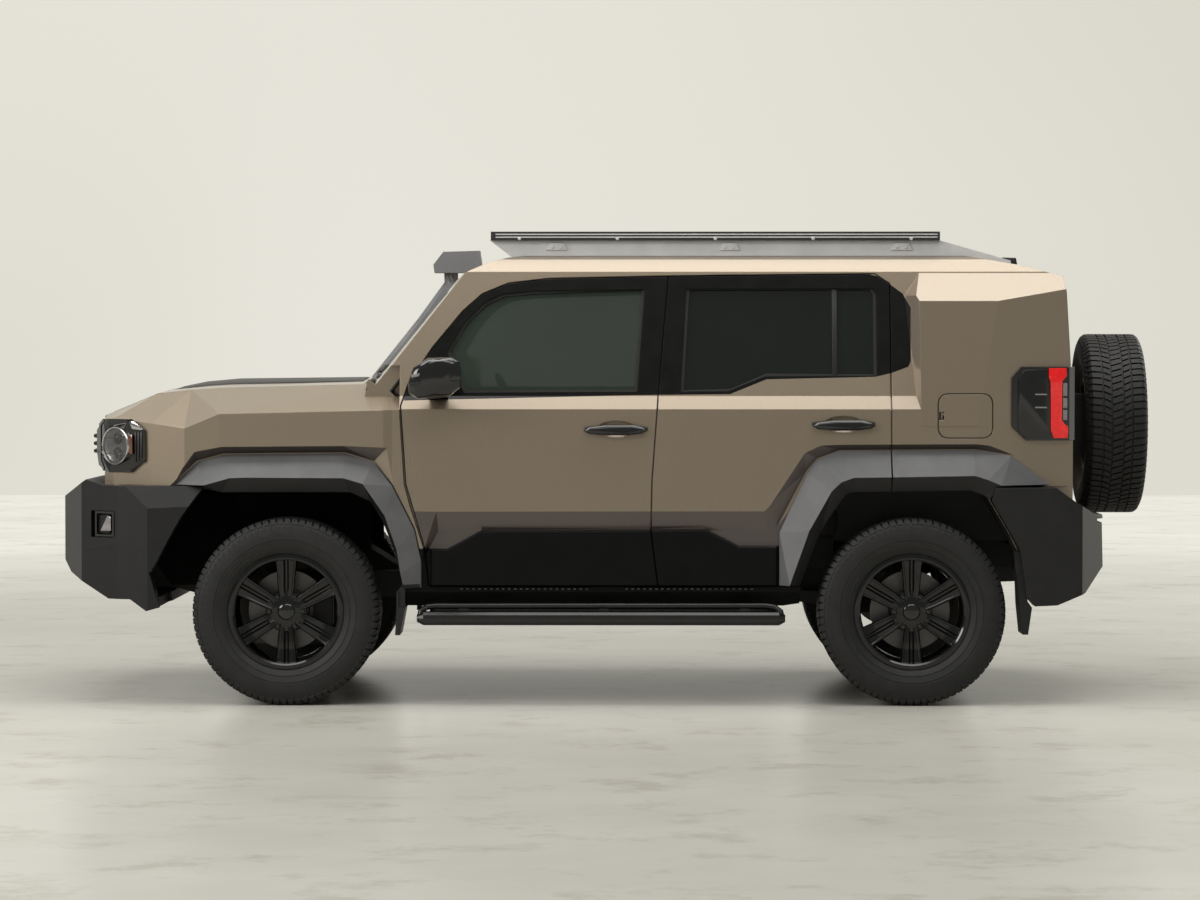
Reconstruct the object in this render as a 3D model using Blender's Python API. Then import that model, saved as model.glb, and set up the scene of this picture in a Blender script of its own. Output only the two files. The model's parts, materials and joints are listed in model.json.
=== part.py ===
"""Lifted off-road 4x4 with a roof rack, snorkel, side steps and a spare wheel on its tailgate.

Metres, +X forward, +Y to the left, +Z up. The origin is on the ground below the middle of the car.
"""
import math

import bmesh
import bpy
from mathutils import Matrix, Vector

# Seats and clearances
SEAT = 0.0003
SHUT = 0.006
MERGE = 0.00005
STEP = 0.036

# Axles and wheels
FRONT_AXLE_X = 1.333
REAR_AXLE_X = -1.247
TRACK_Y = 0.790
TYRE_RADIUS = 0.3875
TYRE_HALF_WIDTH = 0.1325
RIM_RADIUS = 0.2286
TYRE_SIDES = 40
# Half of the tyre's section: radius, offset
TYRE_HALF_PROFILE = [(RIM_RADIUS + SEAT, 0.098), (0.262, 0.128), (0.318, TYRE_HALF_WIDTH), (0.368, 0.119),
                     (TYRE_RADIUS, 0.088)]
RIM_SPOKES = 6
# Half of a spoke seen from the side: radius, half width; and its groove
SPOKE_HALF = [(0.058, 0.030), (0.100, 0.037), (0.2165, 0.045)]
SPOKE_FACE_Y = 0.080
SPOKE_BACK_Y = 0.052
GROOVE_HALF_WIDTH = 0.011
GROOVE_DEPTH = 0.010
AXLE_Z = TYRE_RADIUS * math.cos(math.pi / TYRE_SIDES)
KINGPIN_Y = 0.700
SPINDLE_RADIUS = 0.030
SPINDLE_CLEARANCE = 0.0008
SPARE_STANDOFF = 0.198
SPARE_Z = 1.148

# Body levels
SILL_Z = 0.407
CLADDING_LOW_Z = 0.485
CREASE_Z = 0.800
ROOF_TOP_Z = 1.884
FLOOR_Z = 0.550
FLOOR_THICKNESS = 0.020
REAR_FLOOR_Z = 0.720
REAR_FLOOR_THICKNESS = 0.055
TAILGATE_FACE_X = -1.917
BUMPER_TOP_Z = 0.905
SKIN_Y = 0.885
ROOT_Y = 0.848
FLARE_Y = 0.9275
DOOR_SKIN = 0.025
WELL_Y = 0.560
FRONT_WELL_Y = 0.450

# Driving outlines of the cabin: side view (x, z), half section (y, z), half plan (x, y)
CABIN_SIDE = [
    (0.866, SILL_Z), (0.866, 1.180), (1.012, 1.180), (1.012, 1.288), (1.004, 1.300), (1.009, 1.330),
    (0.708, 1.728), (0.581, 1.796), (0.508, 1.828), (0.417, 1.852), (0.191, 1.872), (-0.462, ROOF_TOP_Z),
    (-1.216, ROOF_TOP_Z), (-1.423, 1.868), (-1.697, 1.820), (-1.880, 1.772), (-1.890, 1.700),
    (-1.905, 1.450), (TAILGATE_FACE_X, 1.200), (TAILGATE_FACE_X, 0.640), (-1.700, 0.560), (-0.720, SILL_Z)]
CABIN_SECTION = [
    (0.800, SILL_Z), (0.860, 0.480), (SKIN_Y, 0.560), (SKIN_Y, CREASE_Z), (0.877, 1.221), (0.838, 1.275),
    (0.720, 1.790), (0.665, 1.842), (0.600, 1.864), (0.300, 1.880)]
CABIN_PLAN = [(1.100, 0.900), (-1.420, 0.900), (-1.900, 0.800), (-1.930, 0.790)]
# Rear quarter, which stands out from the windows: half section (y, z), and its front edge at two depths
QUARTER_SECTION = [(0.500, 1.150), (0.880, 1.150), (0.877, 1.221), (0.862, 1.667), (0.700, 1.802),
                   (0.500, 1.820)]
QUARTER_FRONT_X = -1.246
QUARTER_FRONT_Y = 0.790
QUARTER_FRONT_SLOPE = 0.44
CAVITY_SIDE = [
    (0.840, FLOOR_Z), (0.840, 1.230), (0.905, 1.290), (0.560, 1.735), (0.470, 1.800), (0.300, 1.835),
    (-1.400, 1.835), (-1.780, 1.735), (-1.800, 1.450), (-1.815, 1.200), (-1.815, REAR_FLOOR_Z),
    (-0.760, REAR_FLOOR_Z), (-0.700, FLOOR_Z)]
CAVITY_SECTION = [(0.765, 0.500), (0.765, 1.240), (0.785, 1.285), (0.672, 1.775), (0.600, 1.815),
                  (0.300, 1.832)]
CAVITY_PLAN = [(1.000, 0.790), (-1.420, 0.790), (-1.820, 0.705)]

# Front face of the windscreen: foot and head of its slope (x, z), and its bow forward (y, forward)
SCREEN_FOOT = (0.976, 1.330)
SCREEN_HEAD = (0.655, 1.727)
SCREEN_BOW = [(-0.90, -0.030), (-0.66, 0.0), (-0.40, 0.021), (0.0, 0.030), (0.40, 0.021), (0.66, 0.0),
              (0.90, -0.030)]
SCREEN_THICKNESS = 0.006

# Nose sections: x, side y, crease z, edge y, edge z, middle z
NOSE_SECTIONS = [
    (0.740, 0.885, 1.220, 0.665, 1.322, 1.345),
    (0.895, 0.885, 1.219, 0.660, 1.324, 1.347),
    (0.930, 0.900, 1.217, 0.655, 1.325, 1.348),
    (1.605, 0.900, 1.202, 0.635, 1.308, 1.335),
    (1.750, 0.890, 1.142, 0.625, 1.299, 1.322),
    (1.895, 0.835, 1.163, 0.600, 1.283, 1.298),
    (2.060, 0.755, 1.180, 0.580, 1.216, 1.226),
    (2.120, 0.715, 1.178, 0.570, 1.190, 1.196)]
HOOD_HALF_WIDTH = 0.600
HOOD_REAR_X = 1.030
HOOD_FRONT_X = 2.115
HOOD_THICKNESS = 0.030
HOOD_HINGE_X = HOOD_REAR_X + 0.012
HOOD_HINGE_Y = 0.420
HOOD_HINGE_Z = 1.318

# Tuck under the body's crease: crease x, crease z, root x, root z
TUCK = [
    (1.835, 0.870, 1.832, 0.870), (1.808, 0.909, 1.806, 0.909), (1.708, 1.045, 1.704, 1.008),
    (1.595, 1.066, 1.593, 1.038), (1.096, 1.070, 1.090, 1.043), (0.916, 1.062, 0.970, 1.007),
    (0.889, 0.908, 0.889, 0.908), (0.799, 0.728, 0.799, 0.728), (0.780, 0.640, 0.780, 0.640),
    (0.772, 0.600, 0.772, 0.600), (0.757, 0.660, 0.757, 0.620), (0.713, 0.800, 0.705, 0.720),
    (-0.639, 0.802, -0.650, 0.720), (-0.665, 0.830, -0.695, 0.740), (-0.800, 1.045, -0.813, 0.966),
    (-0.860, 1.075, -0.859, 1.019), (-0.951, 1.079, -0.950, 1.053), (-1.503, 1.081, -1.503, 1.057),
    (-1.627, 1.081, -1.662, 1.032), (-1.690, 1.056, -1.700, 1.002), (-1.840, 0.912, -1.820, 0.912),
    (-1.960, 0.790, -1.940, 0.790)]

# Wheel openings in side view (x, z)
FRONT_ARCH = [
    (0.840, 0.300), (0.860, 0.545), (0.900, 0.700), (0.985, 0.840), (1.068, 0.878), (1.598, 0.878),
    (1.700, 0.820), (1.800, 0.685), (1.875, 0.548), (1.860, 0.300)]
REAR_ARCH = [
    (-1.690, 0.300), (-1.679, 0.638), (-1.652, 0.700), (-1.554, 0.860), (-1.492, 0.886),
    (-1.005, 0.878), (-0.975, 0.868), (-0.890, 0.760), (-0.800, 0.560), (-0.775, 0.300)]

# Flares: outer edge x, z, edge y, peak x, z, inner edge x, z
FRONT_FLARE = [
    (1.800, 0.910, 0.856, 1.668, 0.908, 1.600, 0.878), (1.700, 1.003, 0.856, 1.561, 0.938, 1.560, 0.879),
    (1.590, 1.033, 0.856, 1.500, 0.940, 1.500, 0.879), (1.093, 1.038, 0.856, 1.093, 0.938, 1.068, 0.879),
    (0.974, 1.003, 0.856, 1.013, 0.914, 0.984, 0.841), (0.894, 0.904, 0.886, 0.923, 0.784, 0.932, 0.755),
    (0.804, 0.725, 0.886, 0.874, 0.645, 0.879, 0.620), (0.776, 0.600, 0.880, 0.858, 0.545, 0.860, 0.535),
    (0.776, 0.485, 0.870, 0.845, 0.485, 0.854, 0.485)]
DOOR_FLARE = [
    (-0.702, 0.495, 0.870, -0.742, 0.495, -0.785, 0.495),
    (-0.702, 0.713, 0.870, -0.822, 0.720, -0.871, 0.720),
    (-0.818, 0.962, 0.856, -0.915, 0.885, -0.955, 0.844),
    (-0.862, 1.015, 0.856, -0.955, 0.922, -0.978, 0.871),
    (-0.951, 1.049, 0.856, -1.005, 0.940, -1.008, 0.880),
    (-1.160, 1.050, 0.856, -1.160, 0.942, -1.160, 0.882)]
REAR_FLARE = [
    (-1.166, 1.050, 0.856, -1.166, 0.942, -1.166, 0.882),
    (-1.503, 1.053, 0.856, -1.503, 0.948, -1.492, 0.887),
    (-1.657, 1.028, 0.853, -1.557, 0.931, -1.545, 0.866),
    (-1.815, 0.910, 0.850, -1.612, 0.908, -1.565, 0.850)]

# Doors and windows in side view (x, z)
B_LINE = [(-0.245, 1.772), (-0.203, 1.286), (-0.177, 0.929), (-0.172, 0.721), (-0.201, 0.492)]
FRONT_DOOR = [
    (0.745, 0.492), (0.762, 0.652), (0.838, 0.913), (0.860, 1.235), (0.832, 1.321), (0.733, 1.474),
    (0.608, 1.626), (0.527, 1.698), (0.420, 1.742), (0.250, 1.762)] + B_LINE
REAR_DOOR = list(reversed(B_LINE)) + [
    (-1.100, 1.781), (-1.163, 1.740), (-1.163, 0.882), (-1.005, 0.878), (-0.975, 0.868),
    (-0.890, 0.760), (-0.800, 0.560), (-0.787, 0.492)]
BOTH_DOORS = FRONT_DOOR[:1 - len(B_LINE)] + REAR_DOOR[len(B_LINE):]
FRONT_LATCH = [(B_LINE[0][0], 1.90)] + B_LINE[1:-1] + [(B_LINE[-1][0], 0.30)]
REAR_LATCH = [(-1.163, 1.90), (-1.163, 0.882), (-1.005, 0.878), (-0.975, 0.868), (-0.890, 0.760),
              (-0.800, 0.560), (-0.787, 0.30)]
FRONT_WINDOW = [
    (0.672, 1.455), (0.599, 1.581), (0.519, 1.662), (0.447, 1.698), (0.321, 1.711), (-0.146, 1.718),
    (-0.115, 1.294), (0.600, 1.290)]
REAR_WINDOW = [
    (-0.320, 1.720), (-1.090, 1.722), (-1.105, 1.700), (-1.105, 1.360), (-0.643, 1.357), (-0.491, 1.296),
    (-0.295, 1.294)]
CLADDING = [
    (0.7375, 0.646), (0.667, 0.646), (0.528, 0.721), (-0.397, 0.727), (-0.536, 0.658), (-0.695, 0.658),
    (-0.695, CLADDING_LOW_Z), (0.7375, CLADDING_LOW_Z)]
CLADDING_Y = 0.874
GLASS_DEPTH = 0.018
GLASS_THICKNESS = 0.005
HINGE_Y = 0.875
FRONT_HINGE_X = 0.815
REAR_HINGE_X = -0.203
HINGE_HEIGHTS = [0.895, 0.990]
HINGE_RADIUS = 0.004
HINGE_LENGTH = 0.016
HINGE_POCKET = 0.030
# Room in the pillar for the edge of the skin that swings in ahead of its hinge
HINGE_RECESS_Y = 0.8105
FRONT_RECESS_REACH = 0.100
REAR_RECESS_REACH = 0.045
SWING_GAP = 0.005
LATCH_SLANT = 0.045
PILLAR_Y = 0.790
# Door handles: middle x, middle z
FRONT_HANDLE = (-0.030, 1.140)
REAR_HANDLE = (-0.965, 1.160)
HANDLE_HALF = 0.130
HANDLE_SECTION = [(0.0095, -0.012), (0.019, -0.008), (0.019, 0.008), (0.0095, 0.012)]
CUP_HALF = (0.085, 0.037)
CUP_DEPTH = 0.012

# Tailgate in rear view (y, z), hinged on the car's right
TAILGATE = [(0.655, 0.830), (0.655, 1.260), (0.590, 1.700), (0.560, 1.735)]
TAILGATE_WINDOW = [(0.530, 1.360), (0.530, 1.420), (0.490, 1.660)]
TAILGATE_INNER_X = -1.822
TAILGATE_HINGE_X = -1.930
TAILGATE_HINGE_Y = -0.668
TAILGATE_KNUCKLES = [(0.960, 0.995), (1.030, 1.065)]

# Bumpers: side view (x, z) and half plan (x, y)
FRONT_BUMPER_SIDE = [
    (1.668, 0.905), (2.100, 0.905), (2.174, 0.928), (2.2875, 0.853), (2.2875, 0.586), (2.254, 0.538),
    (2.072, 0.437), (1.976, 0.437), (1.906, 0.390), (1.851, 0.405), (1.893, 0.548), (1.862, 0.595),
    (1.814, 0.685), (1.767, 0.769), (1.704, 0.858)]
FRONT_BUMPER_PLAN = [(2.2875, 0.580), (2.195, 0.750), (2.030, 0.870), (1.900, 0.9275), (1.600, 0.9275)]
FOG_SIDE = [(2.150, 0.690), (2.150, 0.800), (2.050, 0.800), (2.050, 0.690)]
FOG_DEPTH = 0.022
FOG_LENS_DEPTH = 0.012
# Upper side facet of the bumper: side view (x, z) and its cut (y, z)
FACET_SIDE = [(1.640, 0.920), (1.640, 0.826), (1.994, 0.811), (2.035, 0.860), (2.035, 0.920)]
FACET_SECTION = [(0.9285, 0.812), (0.885, 0.906), (0.885, 0.950), (1.0, 0.950), (1.0, 0.812)]
FRONT_BUMPER_HOLLOW = [(2.200, 0.560), (2.120, 0.690), (1.990, 0.790), (1.860, 0.830), (1.500, 0.830)]
REAR_BUMPER_SIDE = [
    (-1.590, 0.899), (-1.835, 0.899), (-1.920, 0.840), (-2.010, 0.787), (-2.056, 0.765), (-2.062, 0.561),
    (-1.966, 0.462), (-1.840, 0.416), (-1.750, 0.412), (-1.715, 0.450), (-1.690, 0.640), (-1.655, 0.705),
    (-1.573, 0.845)]
REAR_BUMPER_PLAN = [(-2.062, 0.620), (-1.950, 0.870), (-1.850, 0.9275), (-1.500, 0.9275)]
REAR_BUMPER_HOLLOW = [(-1.925, 0.800), (-1.500, 0.800)]

GRILLE_HALF_WIDTH = 0.470

# Mud flaps in side view (x, z), and the tongues that join them to the flare and the bumper
MUD_FLAP_Y = (0.700, 0.900)
FRONT_MUD_FLAP = [(0.868, 0.470), (0.868, 0.405), (0.841, 0.402), (0.862, 0.290), (0.882, 0.290),
                  (0.876, 0.404), (0.876, 0.470)]
FRONT_TONGUE = [(0.852, 0.498), (0.840, 0.498), (0.842, 0.403), (0.872, 0.404), (0.872, 0.468)]
REAR_MUD_FLAP = [(-1.684, 0.545), (-1.702, 0.545), (-1.722, 0.430), (-1.740, 0.405), (-1.724, 0.294),
                 (-1.702, 0.294), (-1.690, 0.411)]
REAR_TONGUE = [(-1.666, 0.636), (-1.706, 0.636), (-1.722, 0.430), (-1.690, 0.430)]

# Lamps in side view (x, z) and plan (x, y)
HEADLAMP_SIDE = [
    (2.135, 0.985), (2.145, 1.040), (2.145, 1.130), (2.110, 1.178), (1.985, 1.178), (1.925, 1.120),
    (1.925, 1.010), (1.980, 0.959), (2.090, 0.959)]
HEADLAMP_PLAN = [(2.145, 0.470), (2.145, 0.640), (2.080, 0.752), (1.925, 0.830), (1.925, 0.780),
                 (2.030, 0.700), (2.030, 0.470)]
TAIL_LAMP_SIDE = [
    (-1.925, 1.093), (-1.925, 1.395), (-1.700, 1.395), (-1.660, 1.350), (-1.660, 1.150), (-1.720, 1.093)]
TAIL_LAMP_PLAN = [(-1.660, 0.862), (-1.800, 0.840), (-1.900, 0.815), (-1.925, 0.780), (-1.925, 0.675),
                  (-1.870, 0.675), (-1.870, 0.740), (-1.660, 0.800)]

# Fuel flap in side view
FLAP_FRONT_X = -1.357
FLAP_REAR_X = -1.577
FLAP_LOW_Z = 1.105
FLAP_HIGH_Z = 1.282
FLAP_CORNER = 0.035
FLAP_THICKNESS = 0.012
FLAP_POCKET_Y = 0.830
FLAP_HINGE_X = FLAP_FRONT_X - 0.012
FLAP_HINGE_Y = 0.877
FLAP_PIN_RADIUS = 0.003
FLAP_PIN_LENGTH = 0.012
FLAP_NOTCH = 0.010
FLAP_NOTCH_HALF = 0.0165
FLAP_HINGE_Z = (FLAP_LOW_Z + FLAP_HIGH_Z) / 2

# Chassis
RAIL_LOW_Z = 0.420
RAIL_IN_Y = 0.340
RAIL_OUT_Y = 0.410
RAIL_SIDE = [
    (2.1997, 0.560), (1.850, 0.560), (1.700, 0.5297), (-0.800, 0.5297), (-0.950, 0.6647), (-1.6, 0.6647),
    (-1.9247, 0.600), (-1.9247, 0.500), (-1.600, 0.560), (-0.980, 0.560), (-0.830, RAIL_LOW_Z), (1.700, RAIL_LOW_Z),
    (1.850, 0.460), (2.1997, 0.460)]
# Crossmembers: x, middle z
CROSSMEMBERS = [(1.950, 0.510), (0.500, 0.405), (-0.350, 0.507), (-0.700, 0.507), (-1.780, 0.575)]
CROSSMEMBER_HALF = 0.020
JACK_PAD_X = (0.760, -0.440)
JACK_PAD_HALF = 0.045
JACK_PAD_DROP = 0.015

# Roof rack
RACK_FRONT_X = 0.496
RACK_REAR_X = -1.378
RACK_LOW_Z = ROOF_TOP_Z + 0.039
RACK_HEIGHT = 0.036
RACK_HALF_WIDTH = 0.640
RACK_BEAM = 0.040
RACK_SLATS = 9
RACK_BASE_SIDE = [
    (0.500, RACK_LOW_Z - SEAT), (0.391, 1.840), (-1.675, 1.780), (-1.675, 1.838), (RACK_REAR_X, RACK_LOW_Z - SEAT)]
RACK_BASE_Y = (0.596, 0.621)


def clear_scene():
    for item in list(bpy.data.objects):
        bpy.data.objects.remove(item, do_unlink=True)


def make_collection(name):
    group = bpy.data.collections.new(name)
    bpy.context.scene.collection.children.link(group)
    return group


def make_material(name, color, roughness, metallic=0.0):
    material = bpy.data.materials.new(name)
    material.use_nodes = True
    shader = material.node_tree.nodes["Principled BSDF"]
    shader.inputs["Base Color"].default_value = (*color, 1.0)
    shader.inputs["Roughness"].default_value = roughness
    shader.inputs["Metallic"].default_value = metallic
    return material


def object_from(bm, name="work"):
    bmesh.ops.recalc_face_normals(bm, faces=bm.faces)
    mesh = bpy.data.meshes.new(name)
    bm.to_mesh(mesh)
    bm.free()
    piece = bpy.data.objects.new(name, mesh)
    WORK.objects.link(piece)
    return piece


def in_plane(plane, u, v, depth):
    if plane == "XZ":
        return Vector((u, depth, v))
    if plane == "YZ":
        return Vector((depth, u, v))
    return Vector((u, v, depth))


def prism(outline, plane, low, high):
    """A flat outline in XZ, YZ or XY, extruded along the third axis from low to high."""
    return stack([(outline, low), (outline, high)], plane)


def stack(layers, plane):
    """A solid through outlines of equal point count, each at its own depth."""
    return loft([[in_plane(plane, u, v, depth) for u, v in outline] for outline, depth in layers])


def loft(rings):
    """A solid through rings of equal point count; faces that aren't flat are split in triangles."""
    bm = bmesh.new()
    rings = [[bm.verts.new(Vector(point)) for point in ring] for ring in rings]
    bm.faces.new(rings[0])
    bm.faces.new(list(reversed(rings[-1])))
    for lower, upper in zip(rings, rings[1:]):
        for i in range(len(lower)):
            j = (i + 1) % len(lower)
            bm.faces.new((lower[i], lower[j], upper[j], upper[i]))
    bm.normal_update()
    bmesh.ops.triangulate(bm, faces=[f for f in bm.faces if not is_planar(f)])
    return object_from(bm)


def is_planar(face):
    first = face.verts[0].co
    return all(abs((v.co - first).dot(face.normal)) < 1e-6 for v in face.verts)


def tube(path, radius, sides):
    """A bent rod, its rings square to the bisector of each bend."""
    points = [Vector(p) for p in path]
    rings = []
    for i, point in enumerate(points):
        before = (point - points[i - 1]).normalized() if i > 0 else Vector()
        after = (points[i + 1] - point).normalized() if i + 1 < len(points) else Vector()
        turn = (before + after).to_track_quat("Z", "Y")
        ring = []
        for k in range(sides):
            angle = 2 * math.pi * (k + 0.5) / sides
            ring.append(point + turn @ Vector((radius * math.cos(angle), radius * math.sin(angle), 0.0)))
        rings.append(ring)
    return loft(rings)


def box(x, y, z):
    bm = bmesh.new()
    bmesh.ops.create_cube(bm, size=1.0)
    size = Vector((x[1] - x[0], y[1] - y[0], z[1] - z[0]))
    middle = Vector((x[0] + x[1], y[0] + y[1], z[0] + z[1])) / 2
    bmesh.ops.transform(bm, matrix=Matrix.Translation(middle) @ Matrix.Diagonal((*size, 1.0)), verts=bm.verts)
    return object_from(bm)


def rod(start, end, radius, sides=12, end_radius=None):
    start, end = Vector(start), Vector(end)
    along = end - start
    bm = bmesh.new()
    bmesh.ops.create_cone(bm, cap_ends=True, segments=sides, radius1=radius,
                          radius2=radius if end_radius is None else end_radius, depth=along.length)
    turn = along.to_track_quat("Z", "Y").to_matrix().to_4x4()
    bmesh.ops.transform(bm, matrix=Matrix.Translation((start + end) / 2) @ turn, verts=bm.verts)
    return object_from(bm)


def mirrored_outline(half):
    """Closes a half outline whose first column is across the car."""
    return half + [(-u, v) for u, v in reversed(half)]


def mirrored_plan(half):
    """Closes a half plan whose second column is across the car."""
    return half + [(x, -y) for x, y in reversed(half)]


def offset_outline(outline, distance):
    """Grows an outline by distance, or shrinks it where distance is negative."""
    area = sum(a[0] * b[1] - b[0] * a[1] for a, b in zip(outline, outline[1:] + outline[:1]))
    side = distance if area > 0 else -distance
    count = len(outline)
    moved = []
    for i in range(count):
        before, here, after = (Vector(outline[k % count]) for k in (i - 1, i, i + 1))
        a = (here - before).normalized()
        b = (after - here).normalized()
        normal_a, normal_b = Vector((a.y, -a.x)), Vector((b.y, -b.x))
        middle = (normal_a + normal_b) / (1 + normal_a.dot(normal_b))
        moved.append(tuple(here + middle * side))
    return moved


def apply_modifiers(piece):
    bpy.context.view_layer.update()
    graph = bpy.context.evaluated_depsgraph_get()
    mesh = bpy.data.meshes.new_from_object(piece.evaluated_get(graph))
    piece.modifiers.clear()
    piece.data = mesh


def boolean(piece, tool, operation):
    step = piece.modifiers.new(operation, "BOOLEAN")
    step.operation = operation
    step.solver = "EXACT"
    step.object = tool
    apply_modifiers(piece)
    bpy.data.objects.remove(tool, do_unlink=True)
    return piece


def cut(piece, *tools):
    for tool in tools:
        boolean(piece, tool, "DIFFERENCE")
    return piece


def add(piece, *tools):
    for tool in tools:
        boolean(piece, tool, "UNION")
    return piece


def common(piece, *tools):
    for tool in tools:
        boolean(piece, tool, "INTERSECT")
    return piece


def duplicate(piece, shift=(0.0, 0.0, 0.0)):
    twin = piece.copy()
    twin.data = piece.data.copy()
    twin.data.transform(Matrix.Translation(shift))
    WORK.objects.link(twin)
    return twin


def mirrored(piece):
    """The same solid on the car's other side."""
    twin = duplicate(piece)
    twin.data.transform(Matrix.Diagonal((1.0, -1.0, 1.0, 1.0)))
    twin.data.flip_normals()
    return twin


def turned(profile, centre, sides, axis="Y"):
    """A closed profile of (radius, offset) turned about an axis, with a flat facet at the bottom."""
    bm = bmesh.new()
    half_step = math.pi / sides
    rings = []
    for radius, offset in profile:
        ring = []
        for k in range(sides):
            angle = 2 * math.pi * k / sides + half_step + math.pi / 2
            across, up = radius * math.cos(angle), radius * math.sin(angle)
            local = {"Y": (across, offset, up), "X": (offset, across, up), "Z": (across, up, offset)}[axis]
            ring.append(bm.verts.new(Vector(centre) + Vector(local)))
        rings.append(ring)
    for a, b in zip(rings, rings[1:] + rings[:1]):
        for k in range(sides):
            m = (k + 1) % sides
            bm.faces.new((a[k], a[m], b[m], b[k]))
    return object_from(bm)


def finish(piece, name, material, origin=(0.0, 0.0, 0.0)):
    """Names a piece, puts it in the car's collection and sets its origin on its joint."""
    bm = bmesh.new()
    bm.from_mesh(piece.data)
    bmesh.ops.remove_doubles(bm, verts=bm.verts, dist=MERGE)
    bmesh.ops.dissolve_limit(bm, angle_limit=math.radians(0.02), verts=bm.verts, edges=bm.edges)
    bm.to_mesh(piece.data)
    bm.free()
    piece.name = name
    piece.data.name = name
    piece.data.transform(Matrix.Translation(-Vector(origin)))
    piece.location = origin
    piece.data.materials.clear()
    piece.data.materials.append(material)
    WORK.objects.unlink(piece)
    CAR.objects.link(piece)
    return piece


def both_sides(piece, name, material, origin=(0.0, 0.0, 0.0)):
    """Finishes a left piece and its twin on the right."""
    twin = mirrored(piece)
    finish(piece, name + "_left", material, origin)
    finish(twin, name + "_right", material, (origin[0], -origin[1], origin[2]))


def screen_slab(half_width, low, high, near, far):
    """A bowed slab along the windscreen, from low to high along its slope and from near to far off its face."""
    foot, head = Vector(SCREEN_FOOT), Vector(SCREEN_HEAD)
    slope = (head - foot).normalized()
    normal = Vector((slope.y, -slope.x))
    layers = []
    columns = [row for row in SCREEN_BOW if abs(row[0]) < half_width - 0.001]
    ends = [(-half_width, bow_at(half_width)), (half_width, bow_at(half_width))]
    for y, bow in [ends[0]] + columns + [ends[1]]:
        corners = [(low, near), (high, near), (high, far), (low, far)]
        points = [foot + (head - foot) * t + normal * d + Vector((bow, 0)) for t, d in corners]
        layers.append(([tuple(p) for p in points], y))
    return stack(layers, "XZ")


def bow_at(y):
    for (y0, b0), (y1, b1) in zip(SCREEN_BOW, SCREEN_BOW[1:]):
        if y0 <= y <= y1:
            return b0 + (b1 - b0) * (y - y0) / (y1 - y0)
    return SCREEN_BOW[-1][1]


def tuck_cutter(side):
    """Everything outside the body below its crease, on one side."""
    crease = [(row[0], row[1]) for row in TUCK] + [(-1.96, 0.25), (1.835, 0.25)]
    root = [(row[2], row[3]) for row in TUCK] + [(-1.94, 0.25), (1.832, 0.25)]
    return stack([(root, side * ROOT_Y), (crease, side * (SKIN_Y + 0.0005)), (crease, side * 1.2)], "XZ")


def quarter(side):
    """The raised quarter panel on one side, its front edge slanting back as it stands out."""
    layers = []
    for y in (0.550, 0.950):
        front = QUARTER_FRONT_X - (y - QUARTER_FRONT_Y) * QUARTER_FRONT_SLOPE
        layers.append(([(front, 1.100), (front, 1.690), (front - 0.110, 1.840), (-2.1, 1.840),
                        (-2.1, 1.100)], side * y))
    panel = stack(layers, "XZ")
    return common(panel, prism([(y * side, z) for y, z in QUARTER_SECTION], "YZ", -2.5, 0.0))


def cabin_volume():
    """The closed outer form of the cabin, with its cladding."""
    volume = prism(CABIN_SIDE, "XZ", -1.0, 1.0)
    section = prism(mirrored_outline(CABIN_SECTION), "YZ", -2.5, 2.5)
    common(volume, add(section, quarter(1), quarter(-1)))
    common(volume, prism(mirrored_plan(CABIN_PLAN), "XY", 0.0, 2.5))
    cut(volume, screen_slab(1.0, -0.02, 1.6, 0.0, 0.5))
    for side in (1, -1):
        cut(volume, tuck_cutter(side))
        add(volume, stack([(CLADDING, side * 0.80), (CLADDING, side * (CLADDING_Y - 0.008)),
                           (offset_outline(CLADDING, -0.008), side * CLADDING_Y)], "XZ"))
    return volume


def cabin_cavity():
    """The space inside the cabin, less the two rear wheel boxes."""
    cavity = prism(CAVITY_SIDE, "XZ", -1.0, 1.0)
    common(cavity, prism(mirrored_outline(CAVITY_SECTION), "YZ", -2.5, 2.5))
    common(cavity, prism(mirrored_plan(CAVITY_PLAN), "XY", 0.0, 2.5))
    for side in (1, -1):
        cut(cavity, wheel_box(side))
    return cavity


def wheel_box(side):
    return prism(offset_outline(REAR_ARCH, 0.030), "XZ", side * (WELL_Y - 0.030), side * 1.2)


def nose_volume():
    layers = []
    for x, side_y, crease_z, edge_y, edge_z, middle_z in NOSE_SECTIONS:
        half = [(side_y, 0.380), (side_y, crease_z), (edge_y, edge_z)]
        layers.append((half + [(0.0, middle_z)] + [(-y, z) for y, z in reversed(half)], x))
    return stack(layers, "YZ")


def hinge_pins(axis_x):
    """Pins on the pillar's arms, at the lower half of each hinge."""
    arms = []
    for z in HINGE_HEIGHTS:
        pin = rod((axis_x, HINGE_Y, z), (axis_x, HINGE_Y, z + HINGE_LENGTH), HINGE_RADIUS)
        arm = box((axis_x - 0.0035, axis_x + 0.0035), (PILLAR_Y, HINGE_Y),
                  (z + 0.001, z + HINGE_LENGTH - 0.001))
        arms.append(add(pin, arm))
    return arms


def hinge_knuckles(axis_x):
    """The door's half of each hinge, above its pin, with the arm that carries it."""
    knuckles = []
    for z in HINGE_HEIGHTS:
        low = z + HINGE_LENGTH + SEAT
        knuckle = rod((axis_x, HINGE_Y, low), (axis_x, HINGE_Y, low + HINGE_LENGTH), HINGE_RADIUS)
        arm = box((axis_x - HINGE_POCKET - 0.004, axis_x), (HINGE_Y - 0.003, HINGE_Y + 0.003),
                  (low + 0.001, low + HINGE_LENGTH - 0.001))
        knuckles.append(add(knuckle, arm))
    return knuckles


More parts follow.
